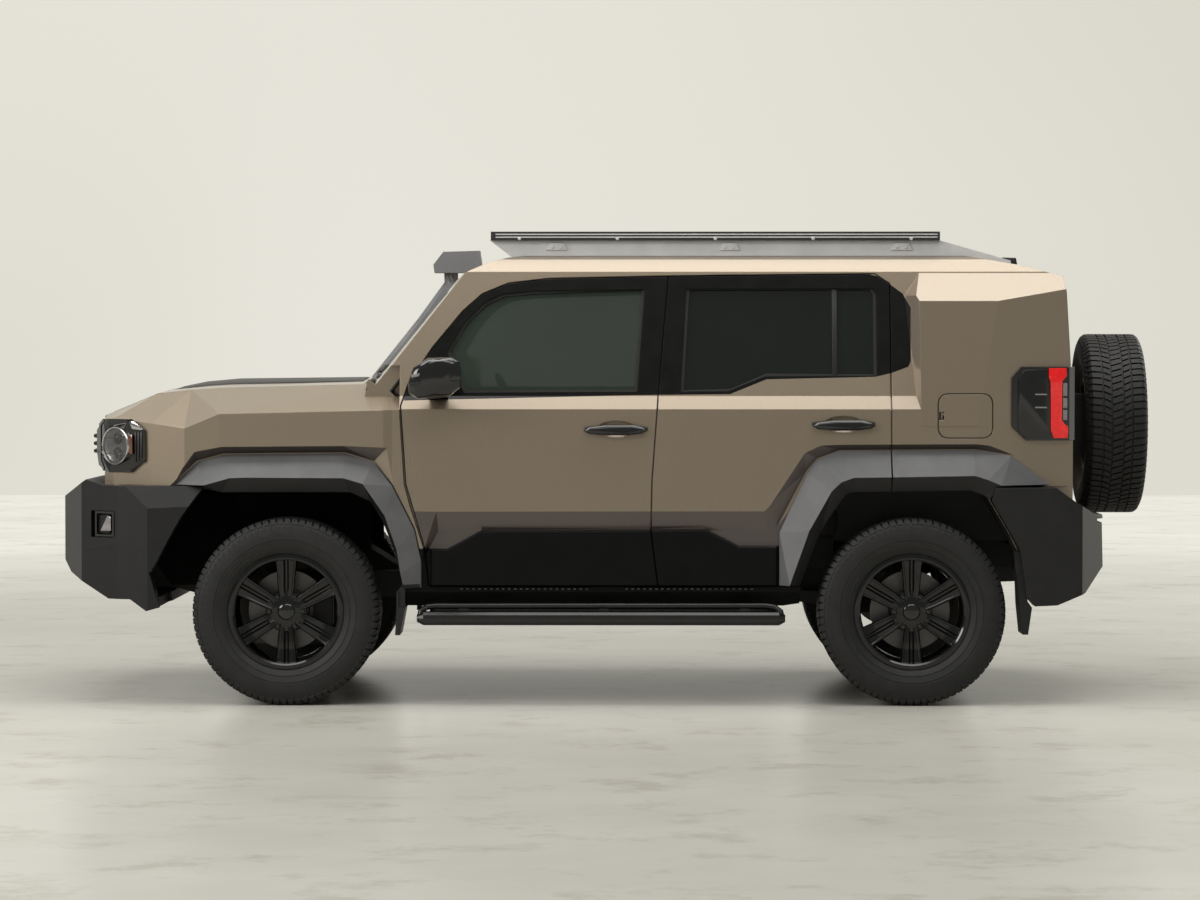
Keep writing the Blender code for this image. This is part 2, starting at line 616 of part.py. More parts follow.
def hinge_pockets(axis_x):
    """Room in the door round each hinge, open to the front and the inside."""
    pockets = []
    for z in HINGE_HEIGHTS:
        near, far = HINGE_Y + 0.002, HINGE_Y + HINGE_RADIUS + 0.0008
        plan = [(axis_x - HINGE_POCKET, 0.700), (axis_x + 0.060, 0.700), (axis_x + 0.060, near),
                (axis_x + 0.008, near), (axis_x + 0.004, far), (axis_x - 0.004, far), (axis_x - 0.008, near),
                (axis_x - HINGE_POCKET, near)]
        pockets.append(prism(plan, "XY", z - 0.008, z + 2 * HINGE_LENGTH + 0.009))
    return pockets


def glass_pane(outline):
    """A flat pane that follows the slope of the side above the belt."""
    low, high = Vector(CABIN_SECTION[5]), Vector(CABIN_SECTION[6])
    along = (high - low).normalized()
    inward = Vector((-along.y, along.x))
    corners = [low - along * 0.02, high + along * 0.02]
    section = [tuple(corners[0] + inward * GLASS_DEPTH), tuple(corners[1] + inward * GLASS_DEPTH),
               tuple(corners[1] + inward * (GLASS_DEPTH + GLASS_THICKNESS)),
               tuple(corners[0] + inward * (GLASS_DEPTH + GLASS_THICKNESS))]
    pane = prism(section, "YZ", -1.5, 1.0)
    return common(pane, prism(offset_outline(outline, -SEAT), "XZ", 0.5, 1.0))


def side_plate(volume, outline, depth):
    """The outer layer of the cabin's left side within an outline."""
    plate = common(prism(outline, "XZ", 0.5, 1.2), duplicate(volume))
    return cut(plate, duplicate(volume, (0.0, -depth, 0.0)))


def handle_cup(place):
    """The rounded hollow behind a handle, sloping in from the skin."""
    x, z = place
    skin = skin_y(z)
    layers = []
    for y, share in ((skin - CUP_DEPTH, 0.55), (skin + 0.001, 1.0), (skin + 0.03, 1.0)):
        ring = [(x + CUP_HALF[0] * share * math.cos(math.pi * k / 8),
                 z + CUP_HALF[1] * share * math.sin(math.pi * k / 8))
                for k in range(16)]
        layers.append((ring, y))
    return stack(layers, "XZ")


def handle_bar(place):
    """A handle that stands on two feet beyond its cup, thinner towards its ends."""
    x, z = place
    skin = skin_y(z)
    layers = []
    for shift, share in ((-HANDLE_HALF, 0.70), (-HANDLE_HALF + 0.020, 1.0), (HANDLE_HALF - 0.020, 1.0),
                         (HANDLE_HALF, 0.70)):
        layers.append(([(skin + y * share, z + up * share) for y, up in HANDLE_SECTION], x + shift))
    bar = stack(layers, "YZ")
    for side in (1, -1):
        foot = sorted((x + side * (CUP_HALF[0] + 0.008), x + side * (HANDLE_HALF - 0.010)))
        add(bar, box(foot, (skin - 0.004, skin + 0.012), (z - 0.007, z + 0.007)))
    return bar


def skin_y(z):
    """Where the door's skin stands between its crease and its belt."""
    low, high = CABIN_SECTION[3], CABIN_SECTION[4]
    return low[0] + (high[0] - low[0]) * (z - low[1]) / (high[1] - low[1])


def latch_wedge(edge):
    """What a door's core gives way behind its latch edge, more and more towards the inside."""
    layers = []
    for y, shift in ((0.900, STEP), (0.620, STEP + LATCH_SLANT)):
        line = [(x + shift, z) for x, z in edge]
        layers.append(([(-2.0, line[0][1])] + line + [(-2.0, line[-1][1])], y))
    return stack(layers, "XZ")


def side_door(wall, volume, outline, window, axis_x, latch_edge, handle):
    """A left door: a skin to the shut line and a core set in from it, with hinge pockets and knuckles."""
    door = side_plate(volume, offset_outline(outline, -SHUT / 2), DOOR_SKIN)
    core = common(duplicate(wall), prism(offset_outline(outline, -SHUT / 2 - STEP), "XZ", 0.5, 1.0))
    cut(core, box((-2.0, 2.0), (0.5, 0.772), (0.3, 1.25)), latch_wedge(latch_edge))
    add(door, core)
    cut(door, *hinge_pockets(axis_x))
    add(door, *hinge_knuckles(axis_x))
    cut(door, prism(window, "XZ", 0.5, 1.0), handle_cup(handle))
    return add(door, handle_bar(handle))


def door_openings(volume):
    """The space that the two left doors fill, grown by the shut gap."""
    opening = prism(offset_outline(BOTH_DOORS, SHUT / 2), "XZ", 0.5, 1.2)
    depth = -DOOR_SKIN - SHUT
    cut(opening, common(duplicate(volume, (0.0, depth, 0.0)), duplicate(volume, (0.0, depth, -SHUT))))
    for outline, axis_x, reach in ((FRONT_DOOR, FRONT_HINGE_X, FRONT_RECESS_REACH),
                                   (REAR_DOOR, REAR_HINGE_X, REAR_RECESS_REACH)):
        add(opening, prism(offset_outline(outline, SHUT / 2 - STEP), "XZ", 0.55, 1.1))
        recess = prism(offset_outline(outline, SHUT / 2 - 0.0005), "XZ", HINGE_RECESS_Y, 1.2)
        add(opening, common(recess, box((axis_x - reach, axis_x + 0.1), (0.5, 1.3), (0.3, 1.3))))
    keep = common(wheel_box(1), box((-3, 3), (0.0, 0.765), (0.0, 2.0)))
    return cut(opening, keep)


def build_cabin():
    volume = cabin_volume()
    wall = cut(duplicate(volume), cabin_cavity())
    cut(wall, box((-0.800, 0.90), (-0.640, 0.640), (0.2, FLOOR_Z - FLOOR_THICKNESS)))
    cut(wall, box((-2.2, -0.799), (-0.640, 0.640), (0.2, REAR_FLOOR_Z - REAR_FLOOR_THICKNESS)))
    for side in (1, -1):
        cut(wall, prism(REAR_ARCH, "XZ", side * WELL_Y, side * 1.2))

    front_door = side_door(wall, volume, FRONT_DOOR, FRONT_WINDOW, FRONT_HINGE_X, FRONT_LATCH, FRONT_HANDLE)
    rear_door = side_door(wall, volume, REAR_DOOR, REAR_WINDOW, REAR_HINGE_X, REAR_LATCH, REAR_HANDLE)
    tailgate, tailgate_glass = build_tailgate(wall)

    body = wall
    opening = door_openings(volume)
    cut(body, mirrored(opening), opening)
    cut_tailgate_opening(body)
    cut(body, screen_slab(0.640, 0.045, 0.955, -0.120, 0.100))
    for side in (1, -1):
        cut(body, prism(offset_outline(fender_outline(), SEAT), "XZ", side * 0.772, side * 1.2))
        cut(body, common(prism(offset_outline(fender_outline(), SHUT + SWING_GAP), "XZ", side * 0.850,
                               side * 1.2),
                         box((0.7, 0.9), (-1.3, 1.3), (0.40, 1.200))))
        cut(body, box((-2.2, -1.55), sorted((side * (0.800 - SEAT), side * 1.2)),
                      (0.3, BUMPER_TOP_Z - 0.003)))
        lamp = prism(offset_outline(TAIL_LAMP_SIDE, SEAT), "XZ", side * 0.5, side * 1.2)
        common(lamp, prism([(x, y * side) for x, y in offset_outline(TAIL_LAMP_PLAN, SEAT)], "XY", 0.5, 2.0))
        cut(body, lamp)
        cut(body, box((-2.2, -1.870), sorted((side * 0.674, side * 1.2)), (1.0927, 1.3953)))
    cut(body, flap_prism(SHUT - 0.001, FLAP_POCKET_Y, 1.2))
    for axis_x in (FRONT_HINGE_X, REAR_HINGE_X):
        for arm in hinge_pins(axis_x):
            add(body, mirrored(arm), arm)
    add(body, flap_pin(), *hood_pins())
    add(body, tailgate_pins())

    paint = MATERIALS["paint"]
    finish(body, "body_shell", paint)
    both_sides(front_door, "door_front", paint, (FRONT_HINGE_X, HINGE_Y, HINGE_HEIGHTS[0]))
    both_sides(rear_door, "door_rear", paint, (REAR_HINGE_X, HINGE_Y, HINGE_HEIGHTS[0]))
    both_sides(glass_pane(FRONT_WINDOW), "door_glass_front", MATERIALS["clear_glass"],
               (FRONT_HINGE_X, HINGE_Y, HINGE_HEIGHTS[0]))
    both_sides(glass_pane(REAR_WINDOW), "door_glass_rear", MATERIALS["dark_glass"],
               (REAR_HINGE_X, HINGE_Y, HINGE_HEIGHTS[0]))
    tailgate_origin = (TAILGATE_HINGE_X, TAILGATE_HINGE_Y, 1.0)
    finish(tailgate, "tailgate", paint, tailgate_origin)
    finish(tailgate_glass, "tailgate_glass", MATERIALS["dark_glass"], tailgate_origin)
    screen = screen_slab(0.640 - SEAT, 0.0455, 0.9545, -0.002 - SCREEN_THICKNESS, -0.002)
    finish(screen, "windscreen", MATERIALS["clear_glass"])
    build_flap(volume)
    build_rack(volume)
    bpy.data.objects.remove(volume, do_unlink=True)


def flap_prism(grow, low_y, high_y):
    """The fuel flap's rounded outline, on the left side."""
    corners = []
    centres = [(FLAP_FRONT_X - FLAP_CORNER, FLAP_HIGH_Z - FLAP_CORNER, 0),
               (FLAP_REAR_X + FLAP_CORNER, FLAP_HIGH_Z - FLAP_CORNER, 90),
               (FLAP_REAR_X + FLAP_CORNER, FLAP_LOW_Z + FLAP_CORNER, 180),
               (FLAP_FRONT_X - FLAP_CORNER, FLAP_LOW_Z + FLAP_CORNER, 270)]
    for x, z, start in centres:
        for turn in (0, 30, 60, 90):
            angle = math.radians(start + turn)
            reach = FLAP_CORNER + grow
            corners.append((x + reach * math.cos(angle), z + reach * math.sin(angle)))
    return prism(corners, "XZ", low_y, high_y)


def flap_pin():
    low, high = FLAP_HINGE_Z - FLAP_PIN_LENGTH, FLAP_HINGE_Z
    pin = rod((FLAP_HINGE_X, FLAP_HINGE_Y, low), (FLAP_HINGE_X, FLAP_HINGE_Y, high), FLAP_PIN_RADIUS, 8)
    return add(pin, box((FLAP_HINGE_X - 0.002, FLAP_HINGE_X + 0.002), (0.820, FLAP_HINGE_Y),
                        (low + 0.001, high - 0.001)))


def build_flap(volume):
    flap = common(flap_prism(0.0, FLAP_POCKET_Y, 1.2), duplicate(volume))
    cut(flap, duplicate(volume, (0.0, -FLAP_THICKNESS, 0.0)))
    cut(flap, box((FLAP_HINGE_X - FLAP_NOTCH, FLAP_FRONT_X + 0.01), (0.80, 0.90),
                  (FLAP_HINGE_Z - FLAP_NOTCH_HALF, FLAP_HINGE_Z + FLAP_NOTCH_HALF)))
    low = FLAP_HINGE_Z + SEAT
    high = low + FLAP_PIN_LENGTH
    knuckle = rod((FLAP_HINGE_X, FLAP_HINGE_Y, low), (FLAP_HINGE_X, FLAP_HINGE_Y, high), FLAP_PIN_RADIUS, 8)
    add(knuckle, box((FLAP_HINGE_X - FLAP_NOTCH - 0.005, FLAP_HINGE_X), (FLAP_HINGE_Y - 0.007, FLAP_HINGE_Y),
                     (low + 0.001, high - 0.001)))
    add(flap, knuckle)
    finish(flap, "fuel_flap", MATERIALS["paint"], (FLAP_HINGE_X, FLAP_HINGE_Y, FLAP_HINGE_Z))


def build_tailgate(wall):
    outline = mirrored_outline(TAILGATE)
    gate = common(duplicate(wall), prism(offset_outline(outline, -SHUT / 2), "YZ", -2.2, TAILGATE_INNER_X))
    window = mirrored_outline(TAILGATE_WINDOW)
    cut(gate, prism(window, "YZ", -2.2, -1.5))
    glass = prism([(-1.880, 1.30), (-1.8695, 1.70), (-1.8745, 1.70), (-1.885, 1.30)], "XZ", -0.7, 0.7)
    common(glass, prism(offset_outline(window, -SEAT), "YZ", -2.2, -1.5))
    mount_face = TAILGATE_FACE_X - SPARE_STANDOFF + 0.045
    add(gate, box((mount_face, TAILGATE_FACE_X + 0.037), (-0.130, 0.130), (SPARE_Z - 0.128, SPARE_Z + 0.128)))
    for low, high in TAILGATE_KNUCKLES:
        add(gate, rod((TAILGATE_HINGE_X, TAILGATE_HINGE_Y, low), (TAILGATE_HINGE_X, TAILGATE_HINGE_Y,
                                                                  high), 0.011))
        add(gate, box((-1.937, -1.9185), (TAILGATE_HINGE_Y, -0.600), (low + 0.002, high - 0.002)))
        add(gate, box((-1.930, -1.905), (-0.645, -0.600), (low + 0.004, high - 0.004)))
    return gate, glass


def tailgate_pins():
    """Body halves of the tailgate's hinges, on the right corner."""
    pins = None
    for low, high in TAILGATE_KNUCKLES:
        length = high - low
        pin = rod((TAILGATE_HINGE_X, TAILGATE_HINGE_Y, low - length),
                  (TAILGATE_HINGE_X, TAILGATE_HINGE_Y, low - SEAT), 0.011)
        add(pin, box((-1.937, -1.905), (-0.730, TAILGATE_HINGE_Y), (low - length + 0.002, low - 0.002)))
        pins = pin if pins is None else add(pins, pin)
    return pins


def cut_tailgate_opening(body):
    outline = mirrored_outline(TAILGATE)
    cut(body, prism(offset_outline(outline, SHUT / 2), "YZ", -2.2, TAILGATE_INNER_X + SHUT))
    cut(body, prism(offset_outline(outline, -0.030), "YZ", -2.2, -1.700))


def fender_outline():
    """The fender's rear edge runs a shut gap ahead of the door, wider where the door's corner swings by."""
    edge = [(x + SHUT, z) for x, z in FRONT_DOOR[:4]]
    swing = ((edge[1][0] + 2 * edge[2][0]) / 3 + SWING_GAP, (edge[1][1] + 2 * edge[2][1]) / 3)
    elbow = (edge[2][0] + SWING_GAP / 2, edge[2][1])
    return [(edge[0][0] + 0.003, 0.480), edge[1], swing, elbow, (0.866, 1.226), (0.8663, 1.40), (2.20, 1.40),
            (2.20, BUMPER_TOP_Z + SEAT), (1.60, BUMPER_TOP_Z + SEAT), (1.50, 0.480)]


def build_nose():
    nose = nose_volume()
    hood_region = box((HOOD_REAR_X, HOOD_FRONT_X), (-HOOD_HALF_WIDTH, HOOD_HALF_WIDTH), (0.9, 1.5))
    hood = cut(common(duplicate(nose), hood_region), duplicate(nose, (0.0, 0.0, -HOOD_THICKNESS)))

    fender = common(duplicate(nose), prism(fender_outline(), "XZ", 0.300, 1.2))
    common(fender, box((0.70, 2.10), (0.410, 1.2), (0.3, 1.5)))
    cut(fender, box((HOOD_REAR_X - SHUT, 2.3), (0.0, HOOD_HALF_WIDTH + SHUT), (1.0, 1.5)))
    cut(fender, tuck_cutter(1))
    cut(fender, prism(FRONT_ARCH, "XZ", FRONT_WELL_Y, 1.2))
    hollow = box((0.960, 1.960), (0.300, 0.790), (0.920, 1.5))
    cut(fender, common(hollow, duplicate(nose, (0.0, 0.0, -HOOD_THICKNESS))))
    cut(fender, box((0.60, 1.013), (0.30, 0.772), (0.20, 1.5)))
    cut(fender, box((0.90, 1.90), (0.30, 0.500), (0.20, 0.620)))
    cut(fender, box((1.960, 2.300), (0.300, GRILLE_HALF_WIDTH), (0.8, 1.5)))
    lamp = prism(offset_outline(HEADLAMP_SIDE, SEAT), "XZ", 0.3, 1.2)
    common(lamp, box((1.90, 2.3), (0.3, 1.2), (0.9, 1.3)))
    cut(fender, lamp)
    both_sides(fender, "fender", MATERIALS["paint"])
    build_headlamps()
    build_grille()

    cut(hood, *hood_pockets())
    add(hood, *hood_knuckles())
    for side in (1, -1):
        low, high = sorted((side * (GRILLE_HALF_WIDTH - SHUT), side * 1.2))
        cut(hood, prism(offset_outline(HEADLAMP_SIDE, SHUT), "XZ", low, high))
    finish(hood, "hood", MATERIALS["paint"], (HOOD_HINGE_X, 0.0, HOOD_HINGE_Z))
    bpy.data.objects.remove(nose, do_unlink=True)


def hood_pins():
    """The body's half of each hood hinge, on an arm that comes up from the cowl."""
    pins = []
    for side in (1, -1):
        start, end = side * (HOOD_HINGE_Y + SEAT), side * (HOOD_HINGE_Y + 0.020)
        low, high = sorted((start + side * 0.001, end - side * 0.001))
        pin = rod((HOOD_HINGE_X, start, HOOD_HINGE_Z), (HOOD_HINGE_X, end, HOOD_HINGE_Z), 0.006, 8)
        add(pin, box((HOOD_HINGE_X - 0.004, HOOD_HINGE_X + 0.004), (low, high), (1.262, HOOD_HINGE_Z)))
        add(pin, box((1.000, HOOD_HINGE_X + 0.003), (low, high), (1.260, 1.272)))
        pins.append(pin)
    return pins


def hood_knuckles():
    knuckles = []
    for side in (1, -1):
        start, end = side * (HOOD_HINGE_Y - 0.020), side * HOOD_HINGE_Y
        low, high = sorted((start + side * 0.001, end - side * 0.001))
        knuckle = rod((HOOD_HINGE_X, start, HOOD_HINGE_Z), (HOOD_HINGE_X, end, HOOD_HINGE_Z), 0.006, 8)
        add(knuckle, box((HOOD_HINGE_X, HOOD_HINGE_X + 0.022), (low, high),
                         (HOOD_HINGE_Z - 0.004, HOOD_HINGE_Z + 0.004)))
        knuckles.append(knuckle)
    return knuckles


def hood_pockets():
    """Room under the hood's skin round each hinge."""
    pockets = []
    for side in (1, -1):
        low, high = sorted((side * (HOOD_HINGE_Y - 0.026), side * (HOOD_HINGE_Y + 0.027)))
        pockets.append(box((HOOD_REAR_X - 0.02, HOOD_HINGE_X + 0.018), (low, high),
                           (1.20, HOOD_HINGE_Z + 0.0072)))
    return pockets


def build_headlamps():
    lamp = prism(HEADLAMP_SIDE, "XZ", 0.3, 1.2)
    common(lamp, prism(HEADLAMP_PLAN, "XY", 0.5, 2.0))
    both_sides(lamp, "headlamp", MATERIALS["lamp"])


def build_grille():
    half = GRILLE_HALF_WIDTH - SEAT
    panel = box((2.030, 2.120), (-half, half), (BUMPER_TOP_Z + SEAT, 1.150))
    cut(panel, prism(offset_outline(FRONT_BUMPER_SIDE, SEAT), "XZ", -1.0, 1.0))
    cut(panel, box((2.060, 2.2), (-0.440, 0.440), (0.985, 1.130)))
    for z in (1.020, 1.058, 1.096):
        add(panel, box((2.050, 2.165), (-0.441, 0.441), (z, z + 0.018)))
    finish(panel, "grille", MATERIALS["black"])


def fog_pocket(side):
    """A recess in the bumper's slanting corner that leaves a smaller lamp standing in it."""
    (x0, y0), (x1, y1) = FRONT_BUMPER_PLAN[1], FRONT_BUMPER_PLAN[2]
    slope = (y1 - y0) / (x1 - x0)

    def plate(outline, near, far):
        layers = []
        for depth in (near, far):
            corners = [Vector((x, y0 + (x - x0) * slope + depth, z)) for x, z in outline]
            layers.append([Vector((c.x, c.y * side, c.z)) for c in corners])
        return loft(layers)

    pocket = plate(FOG_SIDE, -FOG_DEPTH, 0.05)
    return cut(pocket, plate(offset_outline(FOG_SIDE, -0.018), -FOG_DEPTH - 0.01,
                             -FOG_DEPTH + FOG_LENS_DEPTH))


def build_bumpers():
    front = prism(FRONT_BUMPER_SIDE, "XZ", -1.0, 1.0)
    common(front, prism(mirrored_plan(FRONT_BUMPER_PLAN), "XY", 0.0, 2.0))
    cut(front, prism(mirrored_plan(FRONT_BUMPER_HOLLOW), "XY", 0.440, 0.885))
    cut(front, box((1.5, 2.020), (-0.830, 0.830), (0.8, 1.0)))
    for side in (1, -1):
        cut(front, prism(FRONT_ARCH, "XZ", side * FRONT_WELL_Y, side * 0.9), fog_pocket(side))
        facet = prism([(y * side, z) for y, z in FACET_SECTION], "YZ", 1.0, 2.5)
        cut(front, common(facet, prism(FACET_SIDE, "XZ", side * 0.80, side * 1.2)))
    finish(front, "front_bumper", MATERIALS["bumper"])
    rear = prism(REAR_BUMPER_SIDE, "XZ", -1.0, 1.0)
    common(rear, prism(mirrored_plan(REAR_BUMPER_PLAN), "XY", 0.0, 2.0))
    cut(rear, prism(mirrored_plan(REAR_BUMPER_HOLLOW), "XY", 0.2, 1.2))
    cut(rear, box((-2.2, -1.8), (-0.690, 0.690), (0.745, 1.2)))
    for side in (1, -1):
        flap = prism(REAR_MUD_FLAP, "XZ", side * MUD_FLAP_Y[0], side * MUD_FLAP_Y[1])
        add(rear, add(flap, prism(REAR_TONGUE, "XZ", side * 0.812, side * (MUD_FLAP_Y[1] - 0.010))))
    finish(rear, "rear_bumper", MATERIALS["bumper"])


def flare(stations):
    """A wheel flare: a sloping face from its outer edge out to its peak, and a lip back to the opening."""
    layers = []
    for outer_x, outer_z, edge_y, peak_x, peak_z, inner_x, inner_z in stations:
        layers.append([(outer_x, ROOT_Y + SEAT, outer_z), (outer_x, edge_y, outer_z),
                       (peak_x, FLARE_Y, peak_z),
                       (inner_x, 0.880, inner_z), (inner_x, ROOT_Y + SEAT, inner_z)])
    return loft(layers)


def build_flares():
    for name, stations, bumper in (("front_flare", FRONT_FLARE, FRONT_BUMPER_SIDE),
                                   ("rear_flare", REAR_FLARE, REAR_BUMPER_SIDE)):
        piece = cut(flare(stations), prism(offset_outline(bumper, SEAT), "XZ", 0.5, 1.2))
        if name == "front_flare":
            flap = prism(FRONT_MUD_FLAP, "XZ", *MUD_FLAP_Y)
            add(piece, add(flap, prism(FRONT_TONGUE, "XZ", 0.870, MUD_FLAP_Y[1] - 0.010)))
        both_sides(piece, name, MATERIALS["flare"])
    both_sides(flare(DOOR_FLARE), "door_flare", MATERIALS["flare"], (REAR_HINGE_X, HINGE_Y, HINGE_HEIGHTS[0]))


def build_tail_lamps():
    lamp = prism(TAIL_LAMP_SIDE, "XZ", 0.5, 1.2)
    common(lamp, prism(TAIL_LAMP_PLAN, "XY", 0.5, 2.0))
    both_sides(lamp, "tail_lamp", MATERIALS["lamp"])


def tyre(centre, axis="Y"):
    profile = TYRE_HALF_PROFILE + [(r, -y) for r, y in reversed(TYRE_HALF_PROFILE)]
    return turned(profile, centre, TYRE_SIDES, axis)


def rim(with_disc):
    """A six-spoke wheel about the origin, its face towards +Y; a groove splits the face of each spoke."""
    profile = [(RIM_RADIUS, -0.098), (RIM_RADIUS, 0.097), (0.221, 0.110), (0.213, 0.104), (0.213, -0.098)]
    wheel = turned(profile, (0, 0, 0), TYRE_SIDES)
    hub = rod((0, -0.020, 0), (0, SPOKE_FACE_Y + 0.002, 0), 0.076, 12)
    for k in range(RIM_SPOKES):
        turn = Matrix.Rotation(2 * math.pi * k / RIM_SPOKES, 4, "Y")
        outline = [(half, radius) for radius, half in SPOKE_HALF]
        outline += [(-half, radius) for half, radius in reversed(outline)]
        spoke = prism(outline, "XZ", SPOKE_BACK_Y, SPOKE_FACE_Y)
        groove = prism([(-GROOVE_HALF_WIDTH, SPOKE_FACE_Y + 0.001), (GROOVE_HALF_WIDTH, SPOKE_FACE_Y + 0.001),
                        (0.0, SPOKE_FACE_Y - GROOVE_DEPTH)], "XY", 0.098, 0.2125)
        cut(spoke, groove)
        spoke.data.transform(turn)
        add(hub, spoke)
    add(wheel, hub)
    add(wheel, rod((0, 0.060, 0), (0, 0.094, 0), 0.032, 12))
    if with_disc:
        add(wheel, rod((0, -0.046, 0), (0, -0.022, 0), 0.165, 24), rod((0, -0.03, 0), (0, -0.010, 0),
                                                                       0.078, 18))
        cut(wheel, rod((0, -0.10, 0), (0, 0.020, 0), SPINDLE_RADIUS + SPINDLE_CLEARANCE, 16))
    return wheel


def build_wheels():
    left_rim = rim(True)
    for end, x in (("front", FRONT_AXLE_X), ("rear", REAR_AXLE_X)):
        centre = (x, TRACK_Y, AXLE_Z)
        both_sides(tyre(centre), "tyre_" + end, MATERIALS["tyre"], centre)
        both_sides(duplicate(left_rim, centre), "rim_" + end, MATERIALS["rim"], centre)
    bpy.data.objects.remove(left_rim, do_unlink=True)
    origin = (TAILGATE_HINGE_X, TAILGATE_HINGE_Y, 1.0)
    centre = (TAILGATE_FACE_X - SPARE_STANDOFF - 0.040, 0.0, SPARE_Z)
    finish(tyre(centre, "X"), "spare_tyre", MATERIALS["tyre"], origin)
    spare = rim(False)
    spare.data.transform(Matrix.Translation(centre) @ Matrix.Rotation(math.radians(90), 4, "Z"))
    mount = TAILGATE_FACE_X - SPARE_STANDOFF + 0.045
    add(spare, rod((mount - SEAT, 0, SPARE_Z), (centre[0] - 0.01, 0, SPARE_Z), 0.060, 24))
    finish(spare, "spare_rim", MATERIALS["rim"], origin)


def build_chassis():
    frame = None
    for side in (1, -1):
        rail = prism(RAIL_SIDE, "XZ", side * RAIL_IN_Y, side * RAIL_OUT_Y)
        for x in JACK_PAD_X:
            low, high = sorted((side * (RAIL_IN_Y + 0.005), side * (RAIL_OUT_Y - 0.005)))
            add(rail, box((x - JACK_PAD_HALF, x + JACK_PAD_HALF), (low, high),
                          (RAIL_LOW_Z - JACK_PAD_DROP, RAIL_LOW_Z + 0.005)))
        frame = rail if frame is None else add(frame, rail)
    for x, z in CROSSMEMBERS:
        add(frame, box((x - 0.035, x + 0.035), (-RAIL_IN_Y - 0.02, RAIL_IN_Y + 0.02),
                       (z - CROSSMEMBER_HALF, z + CROSSMEMBER_HALF)))
    finish(frame, "chassis_frame", MATERIALS["chassis"])


def build_axles():
    axle = rod((REAR_AXLE_X, -0.690, AXLE_Z), (REAR_AXLE_X, 0.690, AXLE_Z), 0.042, 12)
    add(axle, rod((REAR_AXLE_X, -0.11, AXLE_Z), (REAR_AXLE_X, 0.11, AXLE_Z), 0.130, 16))
    add(axle, rod((REAR_AXLE_X, 0, AXLE_Z), (REAR_AXLE_X + 0.200, 0, AXLE_Z), 0.060, 10))
    add(axle, rod((REAR_AXLE_X, -0.805, AXLE_Z), (REAR_AXLE_X, 0.805, AXLE_Z), SPINDLE_RADIUS, 16))
    for side in (1, -1):
        low, high = sorted((side * 0.355, side * 0.395))
        add(axle, box((-1.29, -1.20), (low, high), (AXLE_Z, 0.44)))
        add(axle, rod((REAR_AXLE_X, side * 0.375, 0.43), (REAR_AXLE_X, side * 0.375, 0.560 - SEAT), 0.055,
                      10))
        low, high = sorted((side * 0.420, side * 0.460))
        add(axle, prism([(-1.27, 0.37), (-1.22, 0.42), (-0.70, 0.46), (-0.66, 0.44), (-0.66, 0.42),
                         (-1.20, 0.35)],
                        "XZ", low, high))
        low, high = sorted((side * (RAIL_OUT_Y + SEAT), side * 0.425))
        add(axle, box((-0.70, -0.665), (low, high), (0.425, 0.455)))
    finish(axle, "rear_axle", MATERIALS["chassis"])

    front = rod((FRONT_AXLE_X, -0.34 + SEAT, AXLE_Z), (FRONT_AXLE_X, 0.34 - SEAT, AXLE_Z), 0.030, 8)
    add(front, rod((FRONT_AXLE_X, -0.09, AXLE_Z), (FRONT_AXLE_X, 0.13, AXLE_Z), 0.100, 12))
    add(front, rod((FRONT_AXLE_X, -0.650, AXLE_Z), (FRONT_AXLE_X, 0.650, AXLE_Z), 0.018, 8))
    for side in (1, -1):
        arm = prism([(1.333 - 0.030, side * 0.700), (1.333 + 0.030, side * 0.700),
                     (1.333 + 0.045, side * 0.600),
                     (1.333 + 0.190, side * 0.410), (1.333 + 0.190, side * 0.340), (1.333 - 0.190, side * 0.340),
                     (1.333 - 0.190, side * 0.410), (1.333 - 0.045, side * 0.600)], "XY", 0.225, 0.250)
        add(front, arm)
        low, high = sorted((side * 0.345, side * 0.405))
        for x in (1.16, 1.46):
            add(front, box((x, x + 0.045), (low, high), (0.240, 0.420 - SEAT)))
        low, high = sorted((side * 0.430, side * 0.470))
        add(front, rod((FRONT_AXLE_X, side * 0.56, 0.240), (FRONT_AXLE_X, side * 0.445, 0.520), 0.030, 8))
        low, high = sorted((side * (RAIL_OUT_Y + SEAT), side * 0.460))
        add(front, box((1.29, 1.375), (low, high), (0.470, 0.525)))
        arm = prism([(1.333 - 0.025, side * 0.700), (1.333 + 0.025, side * 0.700),
                     (1.333 + 0.070, side * 0.430),
                     (1.333 - 0.070, side * 0.430)], "XY", 0.520, 0.540)
        add(front, arm)
    add(front, box((1.20, 1.46), (-0.35, 0.35), (0.296, 0.33)))
    finish(front, "front_axle", MATERIALS["chassis"])


def build_knuckles():
    upright = rod((FRONT_AXLE_X, KINGPIN_Y, 0.250 + SEAT), (FRONT_AXLE_X, KINGPIN_Y, 0.520 - SEAT), 0.026, 12)
    add(upright, rod((FRONT_AXLE_X, 0.668, AXLE_Z), (FRONT_AXLE_X, 0.730, AXLE_Z), 0.055, 14))
    add(upright, rod((FRONT_AXLE_X, 0.700, AXLE_Z), (FRONT_AXLE_X, 0.805, AXLE_Z), SPINDLE_RADIUS, 16))
    caliper = box((FRONT_AXLE_X - 0.185, FRONT_AXLE_X - 0.105), (0.712, 0.795),
                  (AXLE_Z - 0.060, AXLE_Z + 0.060))
    cut(caliper, rod((FRONT_AXLE_X, 0.738, AXLE_Z), (FRONT_AXLE_X, 0.774, AXLE_Z), 0.171, 24))
    add(upright, caliper)
    add(upright, box((FRONT_AXLE_X - 0.130, FRONT_AXLE_X), (0.700, 0.722), (AXLE_Z - 0.030, AXLE_Z + 0.030)))
    both_sides(upright, "knuckle", MATERIALS["chassis"], (FRONT_AXLE_X, KINGPIN_Y, AXLE_Z))


